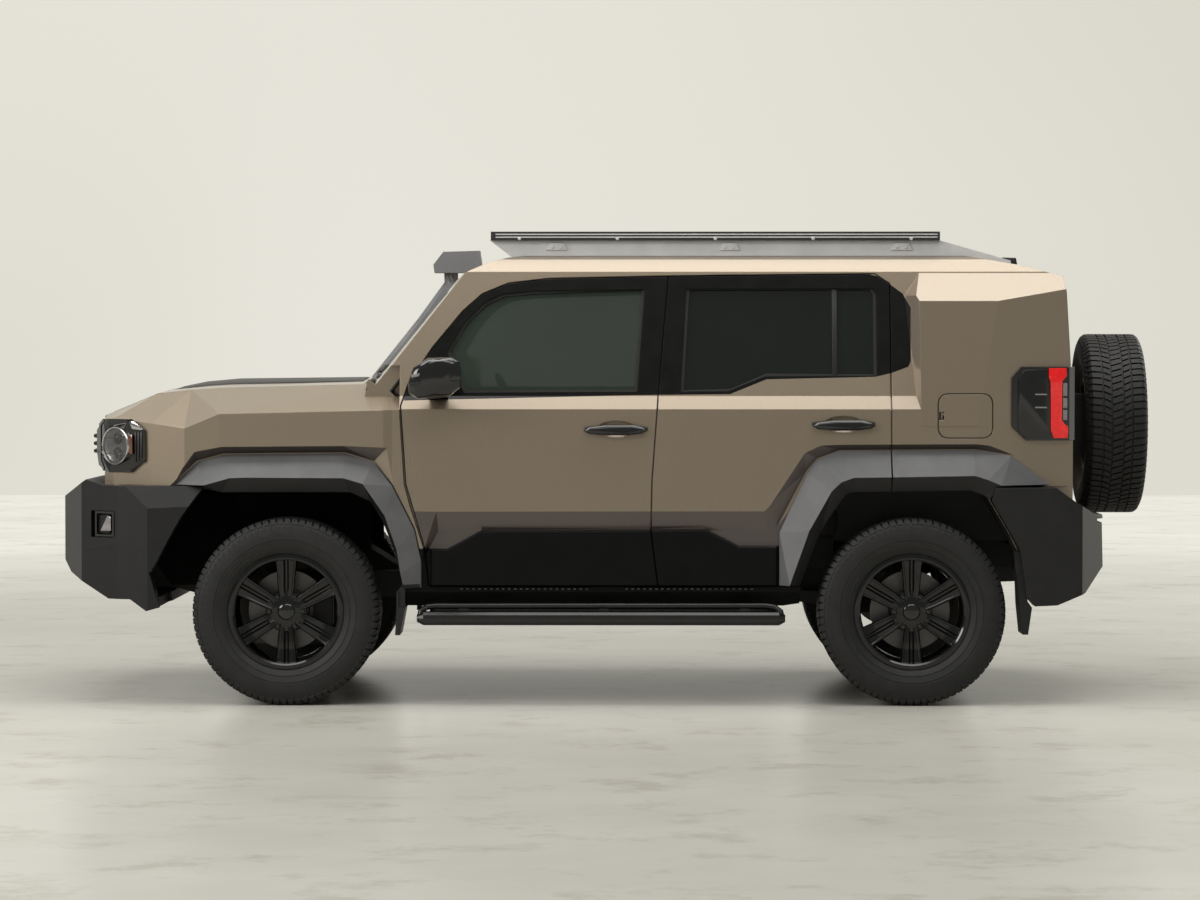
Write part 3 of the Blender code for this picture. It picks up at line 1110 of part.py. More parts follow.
def build_rack(volume):
    rack = box((RACK_REAR_X, RACK_FRONT_X), (-RACK_HALF_WIDTH, RACK_HALF_WIDTH),
               (RACK_LOW_Z, RACK_LOW_Z + RACK_HEIGHT))
    inner = (-RACK_HALF_WIDTH + RACK_BEAM, RACK_HALF_WIDTH - RACK_BEAM)
    bay = (RACK_FRONT_X - RACK_REAR_X - RACK_BEAM) / RACK_SLATS
    for k in range(RACK_SLATS):
        start = RACK_REAR_X + RACK_BEAM + k * bay
        cut(rack, box((start, start + bay - RACK_BEAM), inner,
                      (RACK_LOW_Z - 0.1, RACK_LOW_Z + RACK_HEIGHT + 0.1)))
    finish(rack, "roof_rack", MATERIALS["rack"])
    base = None
    for side in (1, -1):
        rail = prism(RACK_BASE_SIDE, "XZ", side * RACK_BASE_Y[0], side * RACK_BASE_Y[1])
        cut(rail, duplicate(volume, (0.0, 0.0, 0.0005)))
        base = rail if base is None else add(base, rail)
    deflector = prism([(0.494, RACK_LOW_Z - SEAT), (0.385, 1.842), (0.375, 1.850),
                       (0.470, RACK_LOW_Z - SEAT)], "XZ",
                      -RACK_BASE_Y[0] - 0.01, RACK_BASE_Y[0] + 0.01)
    add(base, cut(deflector, duplicate(volume, (0.0, 0.0, 0.0005))))
    for x in (0.30, -0.45, -1.20):
        add(base, box((x, x + 0.03), (-RACK_BASE_Y[0] - 0.01, RACK_BASE_Y[0] + 0.01),
                      (RACK_LOW_Z - 0.0255, RACK_LOW_Z - SEAT)))
    finish(base, "rack_base", MATERIALS["rack_base"])


def build_snorkel():
    path = [(1.080, -0.800, 1.245), (1.060, -0.800, 1.330), (0.850, -0.770, 1.590), (0.727, -0.745, 1.760),
            (0.727, -0.745, 1.815)]
    stem = tube(path, 0.034, 10)
    head = prism([(0.582, 1.813), (0.596, 1.913), (0.760, 1.908), (0.805, 1.850), (0.800, 1.813)], "XZ",
                 -0.810, -0.690)
    add(stem, head)
    nose = nose_volume()
    cut(stem, duplicate(nose, (0.0, 0.0, 0.0003)))
    bpy.data.objects.remove(nose, do_unlink=True)
    finish(stem, "snorkel", MATERIALS["bumper"])


def build_steps():
    layers = []
    for x, radius in ((-0.725, 0.015), (-0.700, 0.029), (0.765, 0.029), (0.792, 0.015)):
        circle = [(0.893 + radius * math.cos(math.pi * k / 6), 0.360 + radius * math.sin(math.pi * k / 6))
                  for k in range(12)]
        layers.append((circle, x))
    step = stack(layers, "YZ")
    add(step, rod((0.740, 0.865, 0.392), (-0.690, 0.865, 0.392), 0.012, 8))
    for x in (0.600, 0.020, -0.560):
        add(step, box((x - 0.02, x + 0.02), (RAIL_OUT_Y + SEAT, 0.880), (0.372, 0.400)))
        add(step, box((x - 0.02, x + 0.02), (RAIL_OUT_Y + SEAT, 0.440), (0.38, 0.480)))
    both_sides(step, "side_step", MATERIALS["bumper"])


def build_mirrors():
    section = [(-0.5, -0.5), (0.3, -0.5), (0.5, -0.2), (0.45, 0.3), (0.2, 0.5), (-0.4, 0.5), (-0.5, 0.3)]
    rows = [(0.905, 0.15, 0.110, 0.725, 1.335), (0.935, 0.20, 0.165, 0.712, 1.355),
            (1.020, 0.20, 0.165, 0.706, 1.358),
            (1.060, 0.15, 0.120, 0.700, 1.358)]
    layers = [([(x + u * length, z + v * height) for u, v in section], y) for y, length, height, x, z in rows]
    shell = stack(layers, "XZ")
    foot = box((0.700, 0.760), (0.800, 0.940), (1.275, 1.300))
    cut(foot, prism(mirrored_outline([(y + SEAT, z) for y, z in CABIN_SECTION]), "YZ", 0.0, 1.5))
    add(shell, foot)
    both_sides(shell, "mirror", MATERIALS["gloss"], (FRONT_HINGE_X, HINGE_Y, HINGE_HEIGHTS[0]))


def build_interior():
    seat = box((-0.300, 0.250), (0.120, 0.620), (0.780, 0.900))
    add(seat, prism([(-0.240, 0.80), (-0.420, 1.430), (-0.300, 1.440), (-0.120, 0.86)], "XZ", 0.130, 0.610))
    add(seat, prism([(-0.400, 1.42), (-0.430, 1.580), (-0.330, 1.590), (-0.310, 1.42)], "XZ", 0.260, 0.480))
    add(seat, box((-0.250, 0.200), (0.170, 0.570), (FLOOR_Z + SEAT, 0.800)))
    both_sides(seat, "front_seat", MATERIALS["seat"])
    bench = box((-1.000, -0.520), (-0.620, 0.620), (0.780, 0.900))
    add(bench, prism([(-0.930, 0.80), (-1.060, 1.380), (-0.950, 1.390), (-0.830, 0.86)], "XZ", -0.615, 0.615))
    for side in (1, -1):
        cut(bench, prism(offset_outline(REAR_ARCH, 0.036), "XZ", side * (WELL_Y - 0.036), side * 1.2))
    add(bench, box((-0.680, -0.560), (-0.520, 0.520), (FLOOR_Z + SEAT, 0.800)))
    finish(bench, "rear_seat", MATERIALS["seat"])
    dash = prism([(0.8397, 0.900), (0.8397, 1.225), (0.700, 1.262), (0.480, 1.225), (0.440, 1.080),
                  (0.560, 0.900)],
                 "XZ", -0.740, 0.740)
    add(dash, rod((0.560, -0.370, 1.130), (0.440, -0.370, 1.190), 0.030, 12))
    wheel_ring = turned([(0.175, -0.014), (0.189, 0.0), (0.175, 0.014), (0.161, 0.0)], (0, 0, 0), 24, "X")
    add(wheel_ring, box((-0.012, 0.012), (-0.170, 0.170), (-0.025, 0.025)),
        rod((-0.02, 0, 0), (0.06, 0, 0), 0.045, 12))
    wheel_ring.data.transform(Matrix.Translation((0.430, -0.370,
                                                  1.195)) @ Matrix.Rotation(math.radians(25), 4, "Y"))
    add(dash, wheel_ring)
    finish(dash, "dashboard", MATERIALS["trim"])


def build_engine():
    block = box((1.130, 1.740), (-0.260, 0.260), (0.600, 1.120))
    add(block, prism([(1.14, 0.62), (1.14, 0.46), (0.45, 0.44), (0.45, 0.515), (0.88, 0.515), (1.05, 0.62)],
                     "XZ", -0.140, 0.140))
    for side in (1, -1):
        low, high = sorted((side * 0.250, side * 0.400))
        add(block, box((1.38, 1.46), (low, high), (0.530, 0.640)))
    add(block, rod((0.46, 0, 0.478), (-0.70, 0, 0.440), 0.032, 12))
    add(block, rod((-0.680, 0, 0.4407), (-1.030, 0, AXLE_Z + 0.002), 0.029, 12))
    add(block, rod((-1.020, 0, AXLE_Z), (REAR_AXLE_X + 0.200 + SEAT, 0, AXLE_Z), 0.036, 12))
    add(block, box((0.470, 0.530), (-0.050, 0.050), (0.425 + SEAT, 0.450)))
    finish(block, "engine", MATERIALS["chassis"])


def main():
    build_cabin()
    build_nose()
    build_bumpers()
    build_flares()
    build_tail_lamps()
    build_wheels()
    build_chassis()
    build_axles()
    build_knuckles()
    build_snorkel()
    build_steps()
    build_mirrors()
    build_interior()
    build_engine()


clear_scene()
CAR = make_collection("off_road_4x4")
WORK = make_collection("cutters")
MATERIALS = {
    "paint": make_material("paint", (0.300, 0.235, 0.165), 0.45, 0.3),
    "flare": make_material("flare", (0.210, 0.210, 0.215), 0.55),
    "bumper": make_material("bumper", (0.025, 0.025, 0.027), 0.60),
    "black": make_material("black", (0.010, 0.010, 0.011), 0.50),
    "gloss": make_material("gloss", (0.006, 0.006, 0.007), 0.15),
    "lamp": make_material("lamp", (0.030, 0.030, 0.032), 0.20),
    "clear_glass": make_material("clear_glass", (0.050, 0.070, 0.055), 0.05),
    "dark_glass": make_material("dark_glass", (0.012, 0.016, 0.013), 0.05),
    "tyre": make_material("tyre", (0.012, 0.012, 0.012), 0.85),
    "rim": make_material("rim", (0.008, 0.008, 0.009), 0.25),
    "chassis": make_material("chassis", (0.020, 0.020, 0.022), 0.70),
    "rack": make_material("rack", (0.025, 0.025, 0.027), 0.55),
    "rack_base": make_material("rack_base", (0.240, 0.245, 0.240), 0.50, 0.2),
    "seat": make_material("seat", (0.030, 0.030, 0.032), 0.80),
    "trim": make_material("trim", (0.020, 0.020, 0.022), 0.70)}
main()
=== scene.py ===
"""Looks of the lifted off-road 4x4: materials, trim, lamps, tyres, seats, floor, light and camera."""
import json
import math

import bmesh
import bpy
from mathutils import Matrix, Vector

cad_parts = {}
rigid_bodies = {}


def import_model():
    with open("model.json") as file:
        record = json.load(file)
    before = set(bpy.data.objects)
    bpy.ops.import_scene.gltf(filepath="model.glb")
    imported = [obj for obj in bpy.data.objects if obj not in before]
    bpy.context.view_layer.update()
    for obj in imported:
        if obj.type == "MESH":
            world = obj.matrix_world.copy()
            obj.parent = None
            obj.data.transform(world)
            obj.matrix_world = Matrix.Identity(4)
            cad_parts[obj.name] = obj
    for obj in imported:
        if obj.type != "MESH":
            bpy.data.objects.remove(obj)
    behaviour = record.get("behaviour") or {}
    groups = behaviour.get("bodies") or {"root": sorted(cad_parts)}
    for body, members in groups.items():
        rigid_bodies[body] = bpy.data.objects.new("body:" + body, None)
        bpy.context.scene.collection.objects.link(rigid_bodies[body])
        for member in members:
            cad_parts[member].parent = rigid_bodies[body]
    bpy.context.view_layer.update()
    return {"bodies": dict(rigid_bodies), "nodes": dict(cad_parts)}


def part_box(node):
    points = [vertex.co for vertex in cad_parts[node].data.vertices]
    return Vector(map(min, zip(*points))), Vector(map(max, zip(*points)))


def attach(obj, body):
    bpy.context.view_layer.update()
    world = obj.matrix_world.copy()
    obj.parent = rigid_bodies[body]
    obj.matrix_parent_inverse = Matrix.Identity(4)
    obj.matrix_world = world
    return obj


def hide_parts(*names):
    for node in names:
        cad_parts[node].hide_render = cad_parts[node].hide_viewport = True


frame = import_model()
NODES = frame["nodes"]
SIDES = (("left", 1.0), ("right", -1.0))

CAMERA_PLACE = Vector((-0.123, 17.2, 1.465))
CAMERA_AIM = Vector((0.00984, -1.0, -0.02523))
FOCAL_PIXELS = 3964.0
PHOTO_WIDTH = 1200.0


# Shader helpers

def node_material(name):
    material = bpy.data.materials.new(name)
    material.use_nodes = True
    tree = material.node_tree
    return material, tree, tree.nodes["Principled BSDF"]


def set_inputs(node, values):
    for key, value in values.items():
        node.inputs[key].default_value = value


def add_node(tree, kind, inputs=None, **settings):
    """A shader node with its settings and its constant inputs."""
    node = tree.nodes.new("ShaderNode" + kind)
    for key, value in settings.items():
        setattr(node, key, value)
    set_inputs(node, inputs or {})
    return node


def link(tree, source, target):
    tree.links.new(source, target)


def object_noise(tree, scale, detail, roughness=0.5):
    place = add_node(tree, "TexCoord")
    noise = add_node(tree, "TexNoise", {"Scale": scale, "Detail": detail, "Roughness": roughness})
    link(tree, place.outputs["Object"], noise.inputs["Vector"])
    return noise


def ramp_between(tree, factor, low, high, start=0.3, end=0.7):
    ramp = add_node(tree, "ValToRGB")
    for element, place, color in zip(ramp.color_ramp.elements, (start, end), (low, high)):
        element.position = place
        element.color = (*color, 1.0)
    link(tree, factor, ramp.inputs["Fac"])
    return ramp


def tint_base(tree, shader, noise, low, high):
    ramp = ramp_between(tree, noise.outputs["Fac"], low, high)
    link(tree, ramp.outputs["Color"], shader.inputs["Base Color"])
    return ramp


def vary_roughness(tree, shader, noise, low, high):
    span = add_node(tree, "MapRange", {"To Min": low, "To Max": high})
    link(tree, noise.outputs["Fac"], span.inputs["Value"])
    link(tree, span.outputs["Result"], shader.inputs["Roughness"])


def add_bump(tree, shader, height, strength, distance, edge=0.0):
    """Surface relief, over edges that a bevel node rounds by the given radius."""
    bump = add_node(tree, "Bump", {"Strength": strength, "Distance": distance})
    link(tree, height, bump.inputs["Height"])
    if edge:
        round_edges = add_node(tree, "Bevel", {"Radius": edge}, samples=4)
        link(tree, round_edges.outputs["Normal"], bump.inputs["Normal"])
    link(tree, bump.outputs["Normal"], shader.inputs["Normal"])


# Materials

def surface_material(name, tint, grain, colors, rough, bump, inputs=None, tint_bumps=False):
    """Colour from one noise, roughness and relief from another; each noise is (scale, detail)."""
    material, tree, shader = node_material(name)
    clouds = object_noise(tree, *tint)
    grains = object_noise(tree, *grain) if grain else clouds
    tint_base(tree, shader, clouds, *colors)
    vary_roughness(tree, shader, grains, *rough)
    relief = clouds if tint_bumps else grains
    add_bump(tree, shader, relief.outputs["Fac"], *bump)
    set_inputs(shader, inputs or {})
    return material


def paint_material(name, *colors):
    """Grey-beige metallic paint: fine flakes under a clear coat, with soft pressed edges."""
    noises = ((900.0, 1.0), (140.0, 2.0))
    finish = {"Metallic": 0.6, "Coat Weight": 0.8, "Coat Roughness": 0.18}
    return surface_material(name, *noises, colors, (0.36, 0.44), (0.04, 0.0004, 0.004), finish, True)


def plastic_material(name, low, high, grain=600.0, bump=0.25, rough=(0.5, 0.62), specular=0.5):
    """Moulded plastic with a fine grain."""
    return surface_material(name, (9.0, 4.0), (grain, 2.0), (low, high), rough, (bump, 0.0006, 0.0025),
                            {"Specular IOR Level": specular})


def gloss_material(name, color, roughness=0.08, coat=0.4, specular=0.5):
    pale = tuple(c * 1.5 + 0.001 for c in color)
    finish = {"Specular IOR Level": specular, "Coat Weight": coat, "Coat Roughness": 0.05}
    return surface_material(name, (14.0, 3.0), None, (color, pale), (roughness, roughness + 0.05),
                            (0.02, 0.0005, 0.002), finish)


def rubber_material(name, low, high, rough=(0.55, 0.72)):
    """Rubber with a fine grain and a little dust."""
    return surface_material(name, (22.0, 5.0), (500.0, 2.0), (low, high), rough, (0.2, 0.0005))


def metal_material(name, color, rough, scale):
    dark = tuple(c * 0.85 for c in color)
    relief = (0.08, 0.0004, 0.0015)
    return surface_material(name, (scale, 3.0), None, (dark, color), rough, relief, {"Metallic": 1.0})


def glass_material(name, color, opacity):
    """Tinted window glass: see-through by its alpha, glossy by its coat."""
    material, tree, shader = node_material(name)
    tint_base(tree, shader, object_noise(tree, 3.0, 2.0), color, tuple(c * 1.15 for c in color))
    set_inputs(shader, {"Roughness": 0.02, "IOR": 1.5, "Alpha": opacity, "Coat Weight": 0.3})
    return material


def upholstery_material(name, low, high):
    """Perforated leather-like cover."""
    material, tree, shader = node_material(name)
    cloud = object_noise(tree, 12.0, 4.0)
    tint_base(tree, shader, cloud, low, high)
    place = add_node(tree, "TexCoord")
    grain = add_node(tree, "TexVoronoi", {"Scale": 320.0})
    link(tree, place.outputs["Object"], grain.inputs["Vector"])
    vary_roughness(tree, shader, cloud, 0.55, 0.7)
    add_bump(tree, shader, grain.outputs["Distance"], 0.3, 0.0008)
    return material


def lens_material(name, color, strength=0.0, opacity=1.0):
    """A lamp's coloured or clear lens, with fine optic cells."""
    material, tree, shader = node_material(name)
    tint = tint_base(tree, shader, object_noise(tree, 60.0, 2.0), tuple(c * 0.8 for c in color), color)
    if strength:
        link(tree, tint.outputs["Color"], shader.inputs["Emission Color"])
        shader.inputs["Emission Strength"].default_value = strength
    set_inputs(shader, {"Alpha": opacity, "Roughness": 0.08, "Coat Weight": 0.5})
    return material


def grey(red, blue=None):
    """A grey whose blue may differ a little."""
    return (red, red, red if blue is None else blue)


MATS = {
    "paint": paint_material("paint_beige", (0.235, 0.188, 0.134), (0.32, 0.258, 0.188)),
    # Painted shade: a darker copy of the paint, put on faces that turn down and on outward door faces below
    # the crease in place of the shade they catch
    "paint_painted_shade": paint_material("paint_beige_painted_shade", (0.085, 0.07, 0.064), (0.12, 0.099, 0.09)),
    "flare": plastic_material("flare_grey", (0.105, 0.106, 0.111), (0.13, 0.131, 0.137), 900.0, 0.1,
                              (0.42, 0.52)),
    "bumper": plastic_material("bumper_dark", grey(0.006, 0.0065), grey(0.01, 0.0105), 500.0, 0.25,
                               (0.36, 0.46), 0.42),
    "step": plastic_material("step_black", grey(0.007, 0.0075), grey(0.011, 0.012), 800.0, 0.12, (0.22, 0.3)),
    "cladding": plastic_material("cladding_black", grey(0.0025, 0.003), grey(0.004, 0.0045), 700.0, 0.12,
                                 (0.32, 0.42), 0.15),
    "liner": plastic_material("liner_black", grey(0.003), grey(0.006), 90.0, 0.4, (0.8, 0.9), 0.15),
    "black": plastic_material("black_plastic", grey(0.006, 0.007), grey(0.01, 0.011), 700.0, 0.2, (0.4, 0.5)),
    "gloss": gloss_material("gloss_black", grey(0.004, 0.0045)),
    "pillar": gloss_material("pillar_black", grey(0.004), 0.18, 0.05, 0.25),
    "clear_glass": glass_material("window_glass", (0.03, 0.045, 0.034), 0.62),
    "screen_glass": glass_material("screen_glass", (0.035, 0.05, 0.04), 0.4),
    "dark_glass": glass_material("privacy_glass", (0.006, 0.009, 0.007), 0.86),
    "tyre": rubber_material("tyre_rubber", grey(0.006), (0.012, 0.0118, 0.0115)),
    "seal": rubber_material("seal_rubber", grey(0.006), grey(0.01), (0.45, 0.6)),
    "rim": gloss_material("rim_black", grey(0.0015, 0.0018), 0.09, 0.3, 0.4),
    "disc": metal_material("disc_steel", (0.16, 0.155, 0.15), (0.35, 0.5), 140.0),
    "chassis": plastic_material("chassis_black", grey(0.006, 0.0065), (0.013, 0.0125, 0.012), 120.0, 0.3,
                                (0.55, 0.7)),
    "rack": plastic_material("rack_black", grey(0.016, 0.018), grey(0.024, 0.026), 1100.0, 0.12,
                             (0.45, 0.55)),
    "rack_base": plastic_material("rack_rail", (0.58, 0.585, 0.58), (0.66, 0.665, 0.66), 300.0, 0.1,
                                  (0.38, 0.48)),
    "seat": upholstery_material("seat_cover", grey(0.016, 0.017), grey(0.03, 0.031)),
    "trim": plastic_material("cabin_trim", grey(0.014, 0.015), grey(0.022, 0.023), 400.0, 0.3, (0.6, 0.72)),
    "snorkel": plastic_material("snorkel_grey", (0.15, 0.152, 0.156), (0.19, 0.192, 0.197), 500.0, 0.3,
                                (0.45, 0.58)),
    "steel": metal_material("bare_steel", grey(0.42), (0.22, 0.38), 120.0),
    "reflector": metal_material("lamp_reflector", grey(0.55), (0.08, 0.18), 60.0),
    "clear_lens": lens_material("clear_lens", grey(0.1), 0.0, 0.3),
    "red_lens": lens_material("red_lens", (0.62, 0.006, 0.006), 0.55),
    "orange_lens": lens_material("orange_lens", (0.16, 0.055, 0.018)),
    "grey_lens": lens_material("grey_lens", (0.3, 0.28, 0.28)),
}


# Mesh helpers

def add_loft(bm, rings, around=False):
    """Faces through rings of equal point count, with end faces, or joined all the way round."""
    rows = [[bm.verts.new(point) for point in ring] for ring in rings]
    faces = []
    pairs = list(zip(rows, rows[1:])) + ([(rows[-1], rows[0])] if around else [])
    count = len(rows[0])
    for low, high in pairs:
        for index in range(count):
            after = (index + 1) % count
            faces.append(bm.faces.new((low[index], low[after], high[after], high[index])))
    if not around:
        faces.append(bm.faces.new(list(reversed(rows[0]))))
        faces.append(bm.faces.new(rows[-1]))
    return faces


def soften(bm, faces, bevel, segments=2):
    """Rounds every edge of some new faces."""
    if bevel:
        edges = list({edge for face in faces for edge in face.edges})
        bmesh.ops.bevel(bm, geom=edges, offset=bevel, segments=segments, profile=0.5, affect="EDGES",
                        clamp_overlap=True)


def add_prism(bm, outline, low, high, bevel=0.0, segments=2):
    """An (x, z) outline drawn out from y = low to y = high."""
    faces = add_loft(bm, [[(x, y, z) for x, z in outline] for y in (low, high)])
    soften(bm, faces, bevel, segments)


def rectangle(left, low, right, high):
    return [(left, low), (right, low), (right, high), (left, high)]


def add_box(bm, xs, ys, zs, bevel=0.0, segments=2):
    add_prism(bm, rectangle(xs[0], zs[0], xs[1], zs[1]), *ys, bevel, segments)


def axis_frame(axis):
    """Turns +Y to the given direction."""
    return Vector((0.0, 1.0, 0.0)).rotation_difference(Vector(axis)).to_matrix().to_4x4()


def add_turned(bm, profile, centre=(0.0, 0.0, 0.0), axis=(0.0, 1.0, 0.0), sides=48, closed=True):
    """A ring or a knob: (radius, height) points turned about an axis through centre."""
    place = Matrix.Translation(centre) @ axis_frame(axis)
    rings = []
    for step in range(sides):
        angle = 2.0 * math.pi * step / sides
        rings.append([place @ Vector((r * math.cos(angle), h, r * math.sin(angle))) for r, h in profile])
    if closed:
        add_loft(bm, rings, around=True)
        return
    rows = [[bm.verts.new(point) for point in ring] for ring in rings]
    for low, high in zip(rows, rows[1:] + rows[:1]):
        for index in range(len(profile) - 1):
            bm.faces.new((low[index], low[index + 1], high[index + 1], high[index]))
    for end in (0, -1):
        bm.faces.new([row[end] for row in rows])


def add_tube(bm, points, radius, sides):
    """A round bar along points."""
    points = [Vector(point) for point in points]
    angles = [2.0 * math.pi * step / sides for step in range(sides)]
    circle = [Vector((radius * math.cos(angle), 0.0, radius * math.sin(angle))) for angle in angles]
    rings = []
    for index, point in enumerate(points):
        before = points[max(0, index - 1)]
        after = points[min(len(points) - 1, index + 1)]
        turn = axis_frame((after - before).normalized())
        rings.append([point + turn @ spot for spot in circle])
    add_loft(bm, rings)


def shade_smooth(mesh, sharp):
    """Smooth shading, apart from edges sharper than an angle in degrees."""
    for polygon in mesh.polygons:
        polygon.use_smooth = True
    mesh.set_sharp_from_angle(angle=math.radians(sharp))


def mesh_from(name, bm, look, sharp=30.0):
    bmesh.ops.recalc_face_normals(bm, faces=bm.faces)
    mesh = bpy.data.meshes.new(name)
    bm.to_mesh(mesh)
    bm.free()
    mesh.materials.append(MATS[look])
    shade_smooth(mesh, sharp)
    return mesh


def place_piece(name, mesh, body, replaced=()):
    piece = bpy.data.objects.new(name, mesh)
    bpy.context.scene.collection.objects.link(piece)
    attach(piece, body)
    if replaced:
        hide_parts(*replaced)
    return piece


def new_piece(name, bm, look, body="body", replaced=(), sharp=30.0):
    return place_piece(name, mesh_from(name, bm, look, sharp), body, replaced)


def both_sides(stem, bm, look, body="body", replaced="", sharp=30.0):
    """A piece on the car's left and its mirror image on the right."""
    other = bm.copy()
    bmesh.ops.transform(other, matrix=Matrix.Scale(-1.0, 4, (0.0, 1.0, 0.0)), verts=other.verts)
    bmesh.ops.reverse_faces(other, faces=other.faces)
    for (word, _), half in zip(SIDES, (bm, other)):
        rides_on = body if body in frame["bodies"] else body + "_" + word
        stands_for = (replaced + "_" + word,) if replaced else ()
        new_piece(stem + "_" + word, half, look, rides_on, stands_for, sharp)


# Painted regions of the body, cut along outlines in side view

WINDOW_AREA = [
    (0.863, 1.24), (0.832, 1.321), (0.733, 1.474), (0.608, 1.626), (0.527, 1.698), (0.446, 1.734),
    (0.321, 1.756), (0.052, 1.766), (-0.458, 1.778), (-1.073, 1.781), (-1.123, 1.767), (-1.216, 1.699),
    (-1.246, 1.64), (-1.246, 1.42), (-1.236, 1.396), (-1.166, 1.37), (-1.098, 1.354), (-0.65, 1.344),
    (-0.499, 1.283), (-0.127, 1.279), (0.563, 1.263)]
CLADDING_AREA = [
    (0.9, 0.646), (0.667, 0.646), (0.528, 0.721), (-0.397, 0.727), (-0.536, 0.658), (-0.82, 0.658),
    (-0.82, 0.4), (0.9, 0.4)]
MUD_FLAP_AREA = [(0.96, 0.25), (0.96, 0.5), (0.78, 0.5), (0.78, 0.25)]
CABIN_INSIDE = [
    (0.846, 0.54), (0.846, 1.235), (0.912, 1.295), (0.566, 1.74), (0.474, 1.806), (0.3, 1.841), (-1.4, 1.841),
    (-1.786, 1.741), (-1.806, 1.45), (-1.821, 1.2), (-1.821, 0.54)]
# Half width of the cabin's inside at each height
CABIN_WIDTHS = [(0.54, 0.768), (1.24, 0.768), (1.285, 0.788), (1.775, 0.675), (1.815, 0.603), (1.833, 0.303),
                (1.842, 0.29)]
FRONT_ARCH = [
    (0.825, 0.29), (0.855, 0.545), (0.895, 0.702), (0.98, 0.845), (1.064, 0.884), (1.602, 0.884),
    (1.705, 0.824), (1.806, 0.688), (1.88, 0.548), (1.87, 0.29)]
REAR_ARCH = [
    (-1.7, 0.29), (-1.684, 0.636), (-1.657, 0.698), (-1.558, 0.865), (-1.494, 0.892), (-1.004, 0.884),
    (-0.97, 0.872), (-0.885, 0.762), (-0.795, 0.562), (-0.77, 0.29)]
ARCH_Y = 0.8795
CUT_MARGIN = 0.0005
CUT_SNAP = 0.00001
WHEEL_CENTRES_X = (1.32, -1.255)
WHEEL_CENTRE_Z = 0.388
CREASE_Z = 0.7995
WINDOW_FOOT_Z = 1.262
HANDLES = {"door_front": (-0.03, 1.14), "door_rear": (-0.965, 1.16)}
HANDLE_REACH = (0.14, 0.045)
HANDLE_FOOT_Y = 0.8872


def inside(outline, u, v):
    """Whether a point of the side view lies within an outline."""
    hit = False
    for (u0, v0), (u1, v1) in zip(outline, outline[1:] + outline[:1]):
        if (v0 > v) != (v1 > v) and u < u0 + (v - v0) / (v1 - v0) * (u1 - u0):
            hit = not hit
    return hit


def cut_along(bm, outline):
    """Splits the faces that an outline of the side view crosses."""
    for (u0, v0), (u1, v1) in zip(outline, outline[1:] + outline[:1]):
        normal = Vector((v1 - v0, 0.0, u0 - u1))
        low = (min(u0, u1) - CUT_MARGIN, min(v0, v1) - CUT_MARGIN)
        high = (max(u0, u1) + CUT_MARGIN, max(v0, v1) + CUT_MARGIN)
        crossed = set()
        for face in bm.faces:
            xs = [vert.co.x for vert in face.verts]
            zs = [vert.co.z for vert in face.verts]
            if min(xs) < high[0] and max(xs) > low[0] and min(zs) < high[1] and max(zs) > low[1]:
                crossed.add(face)
                crossed.update(face.edges)
                crossed.update(face.verts)
        if crossed:
            place = (u0, 0.0, v0)
            bmesh.ops.bisect_plane(bm, geom=list(crossed), dist=CUT_SNAP, plane_co=place, plane_no=normal)


def skin(node, body, looks, outlines=(), choose=None, sharp=18.0):
    """A node's own shape again, its faces sorted into looks by choose(middle, normal)."""
    bm = bmesh.new()
    bm.from_mesh(NODES[node].data)
    bm.transform(NODES[node].matrix_world)
    for outline in outlines:
        cut_along(bm, outline)
    mesh = bpy.data.meshes.new(node + "_skin")
    bm.to_mesh(mesh)
    bm.free()
    for look in looks:
        mesh.materials.append(MATS[look])
    shade_smooth(mesh, sharp)
    for polygon in mesh.polygons if choose else ():
        polygon.material_index = looks.index(choose(polygon.center, polygon.normal))
    return place_piece(node + "_skin", mesh, body, (node,))


def in_cabin(middle):
    """Whether a point is on the cabin's inside."""
    if not inside(CABIN_INSIDE, middle.x, middle.z):
        return False
    for (z0, y0), (z1, y1) in zip(CABIN_WIDTHS, CABIN_WIDTHS[1:]):
        if z0 <= middle.z <= z1:
            return abs(middle.y) < y0 + (y1 - y0) * (middle.z - z0) / (z1 - z0) + 0.003
    return False


def is_tucked(middle, normal):
    """Faces of the side that turn down towards the sills; they take the darker copy of the paint as painted
    shade.
    """
    return normal.z < -0.16 and abs(normal.y) > 0.5 and abs(middle.y) > 0.84 and middle.z < 1.1


def in_arch(middle):
    return inside(FRONT_ARCH, middle.x, middle.z) or inside(REAR_ARCH, middle.x, middle.z)


def body_look(middle, normal):
    side_y = abs(middle.y)
    if in_cabin(middle):
        return "trim"
    if side_y < ARCH_Y and in_arch(middle):
        return "liner"
    if normal.z < -0.5 and middle.z < 0.8:
        return "liner"
    if middle.x > 0.93 and side_y < 0.6 and middle.z < 1.24:
        return "liner"
    if middle.z > WINDOW_FOOT_Z and side_y > 0.62 and inside(WINDOW_AREA, middle.x, middle.z):
        return "pillar"
    if middle.z < 0.727 and side_y > 0.7 and -0.82 < middle.x < 0.87:
        return "cladding"
    # Painted shade on faces that turn down
    return "paint_painted_shade" if is_tucked(middle, normal) else "paint"


def door_look(stem, side):
    handle_x, handle_z = HANDLES[stem]

    def choose(middle, normal):
        out_y = middle.y * side
        if middle.z > WINDOW_FOOT_Z and inside(WINDOW_AREA, middle.x, middle.z):
            return "pillar"
        if (out_y > HANDLE_FOOT_Y and abs(middle.x - handle_x) < HANDLE_REACH[0]
                and abs(middle.z - handle_z) < HANDLE_REACH[1]):
            return "gloss"
        if normal.y * side < -0.35 and out_y < 0.8:
            return "trim"
        if out_y > 0.845 and inside(CLADDING_AREA, middle.x, middle.z):
            return "cladding"
        if in_arch(middle):
            return "liner"
        # Painted shade: outward faces below the crease take the darker copy of the paint
        low = middle.z < CREASE_Z and out_y > 0.8 and normal.y * side > 0.3
        return "paint_painted_shade" if low or is_tucked(middle, normal) else "paint"

    return choose


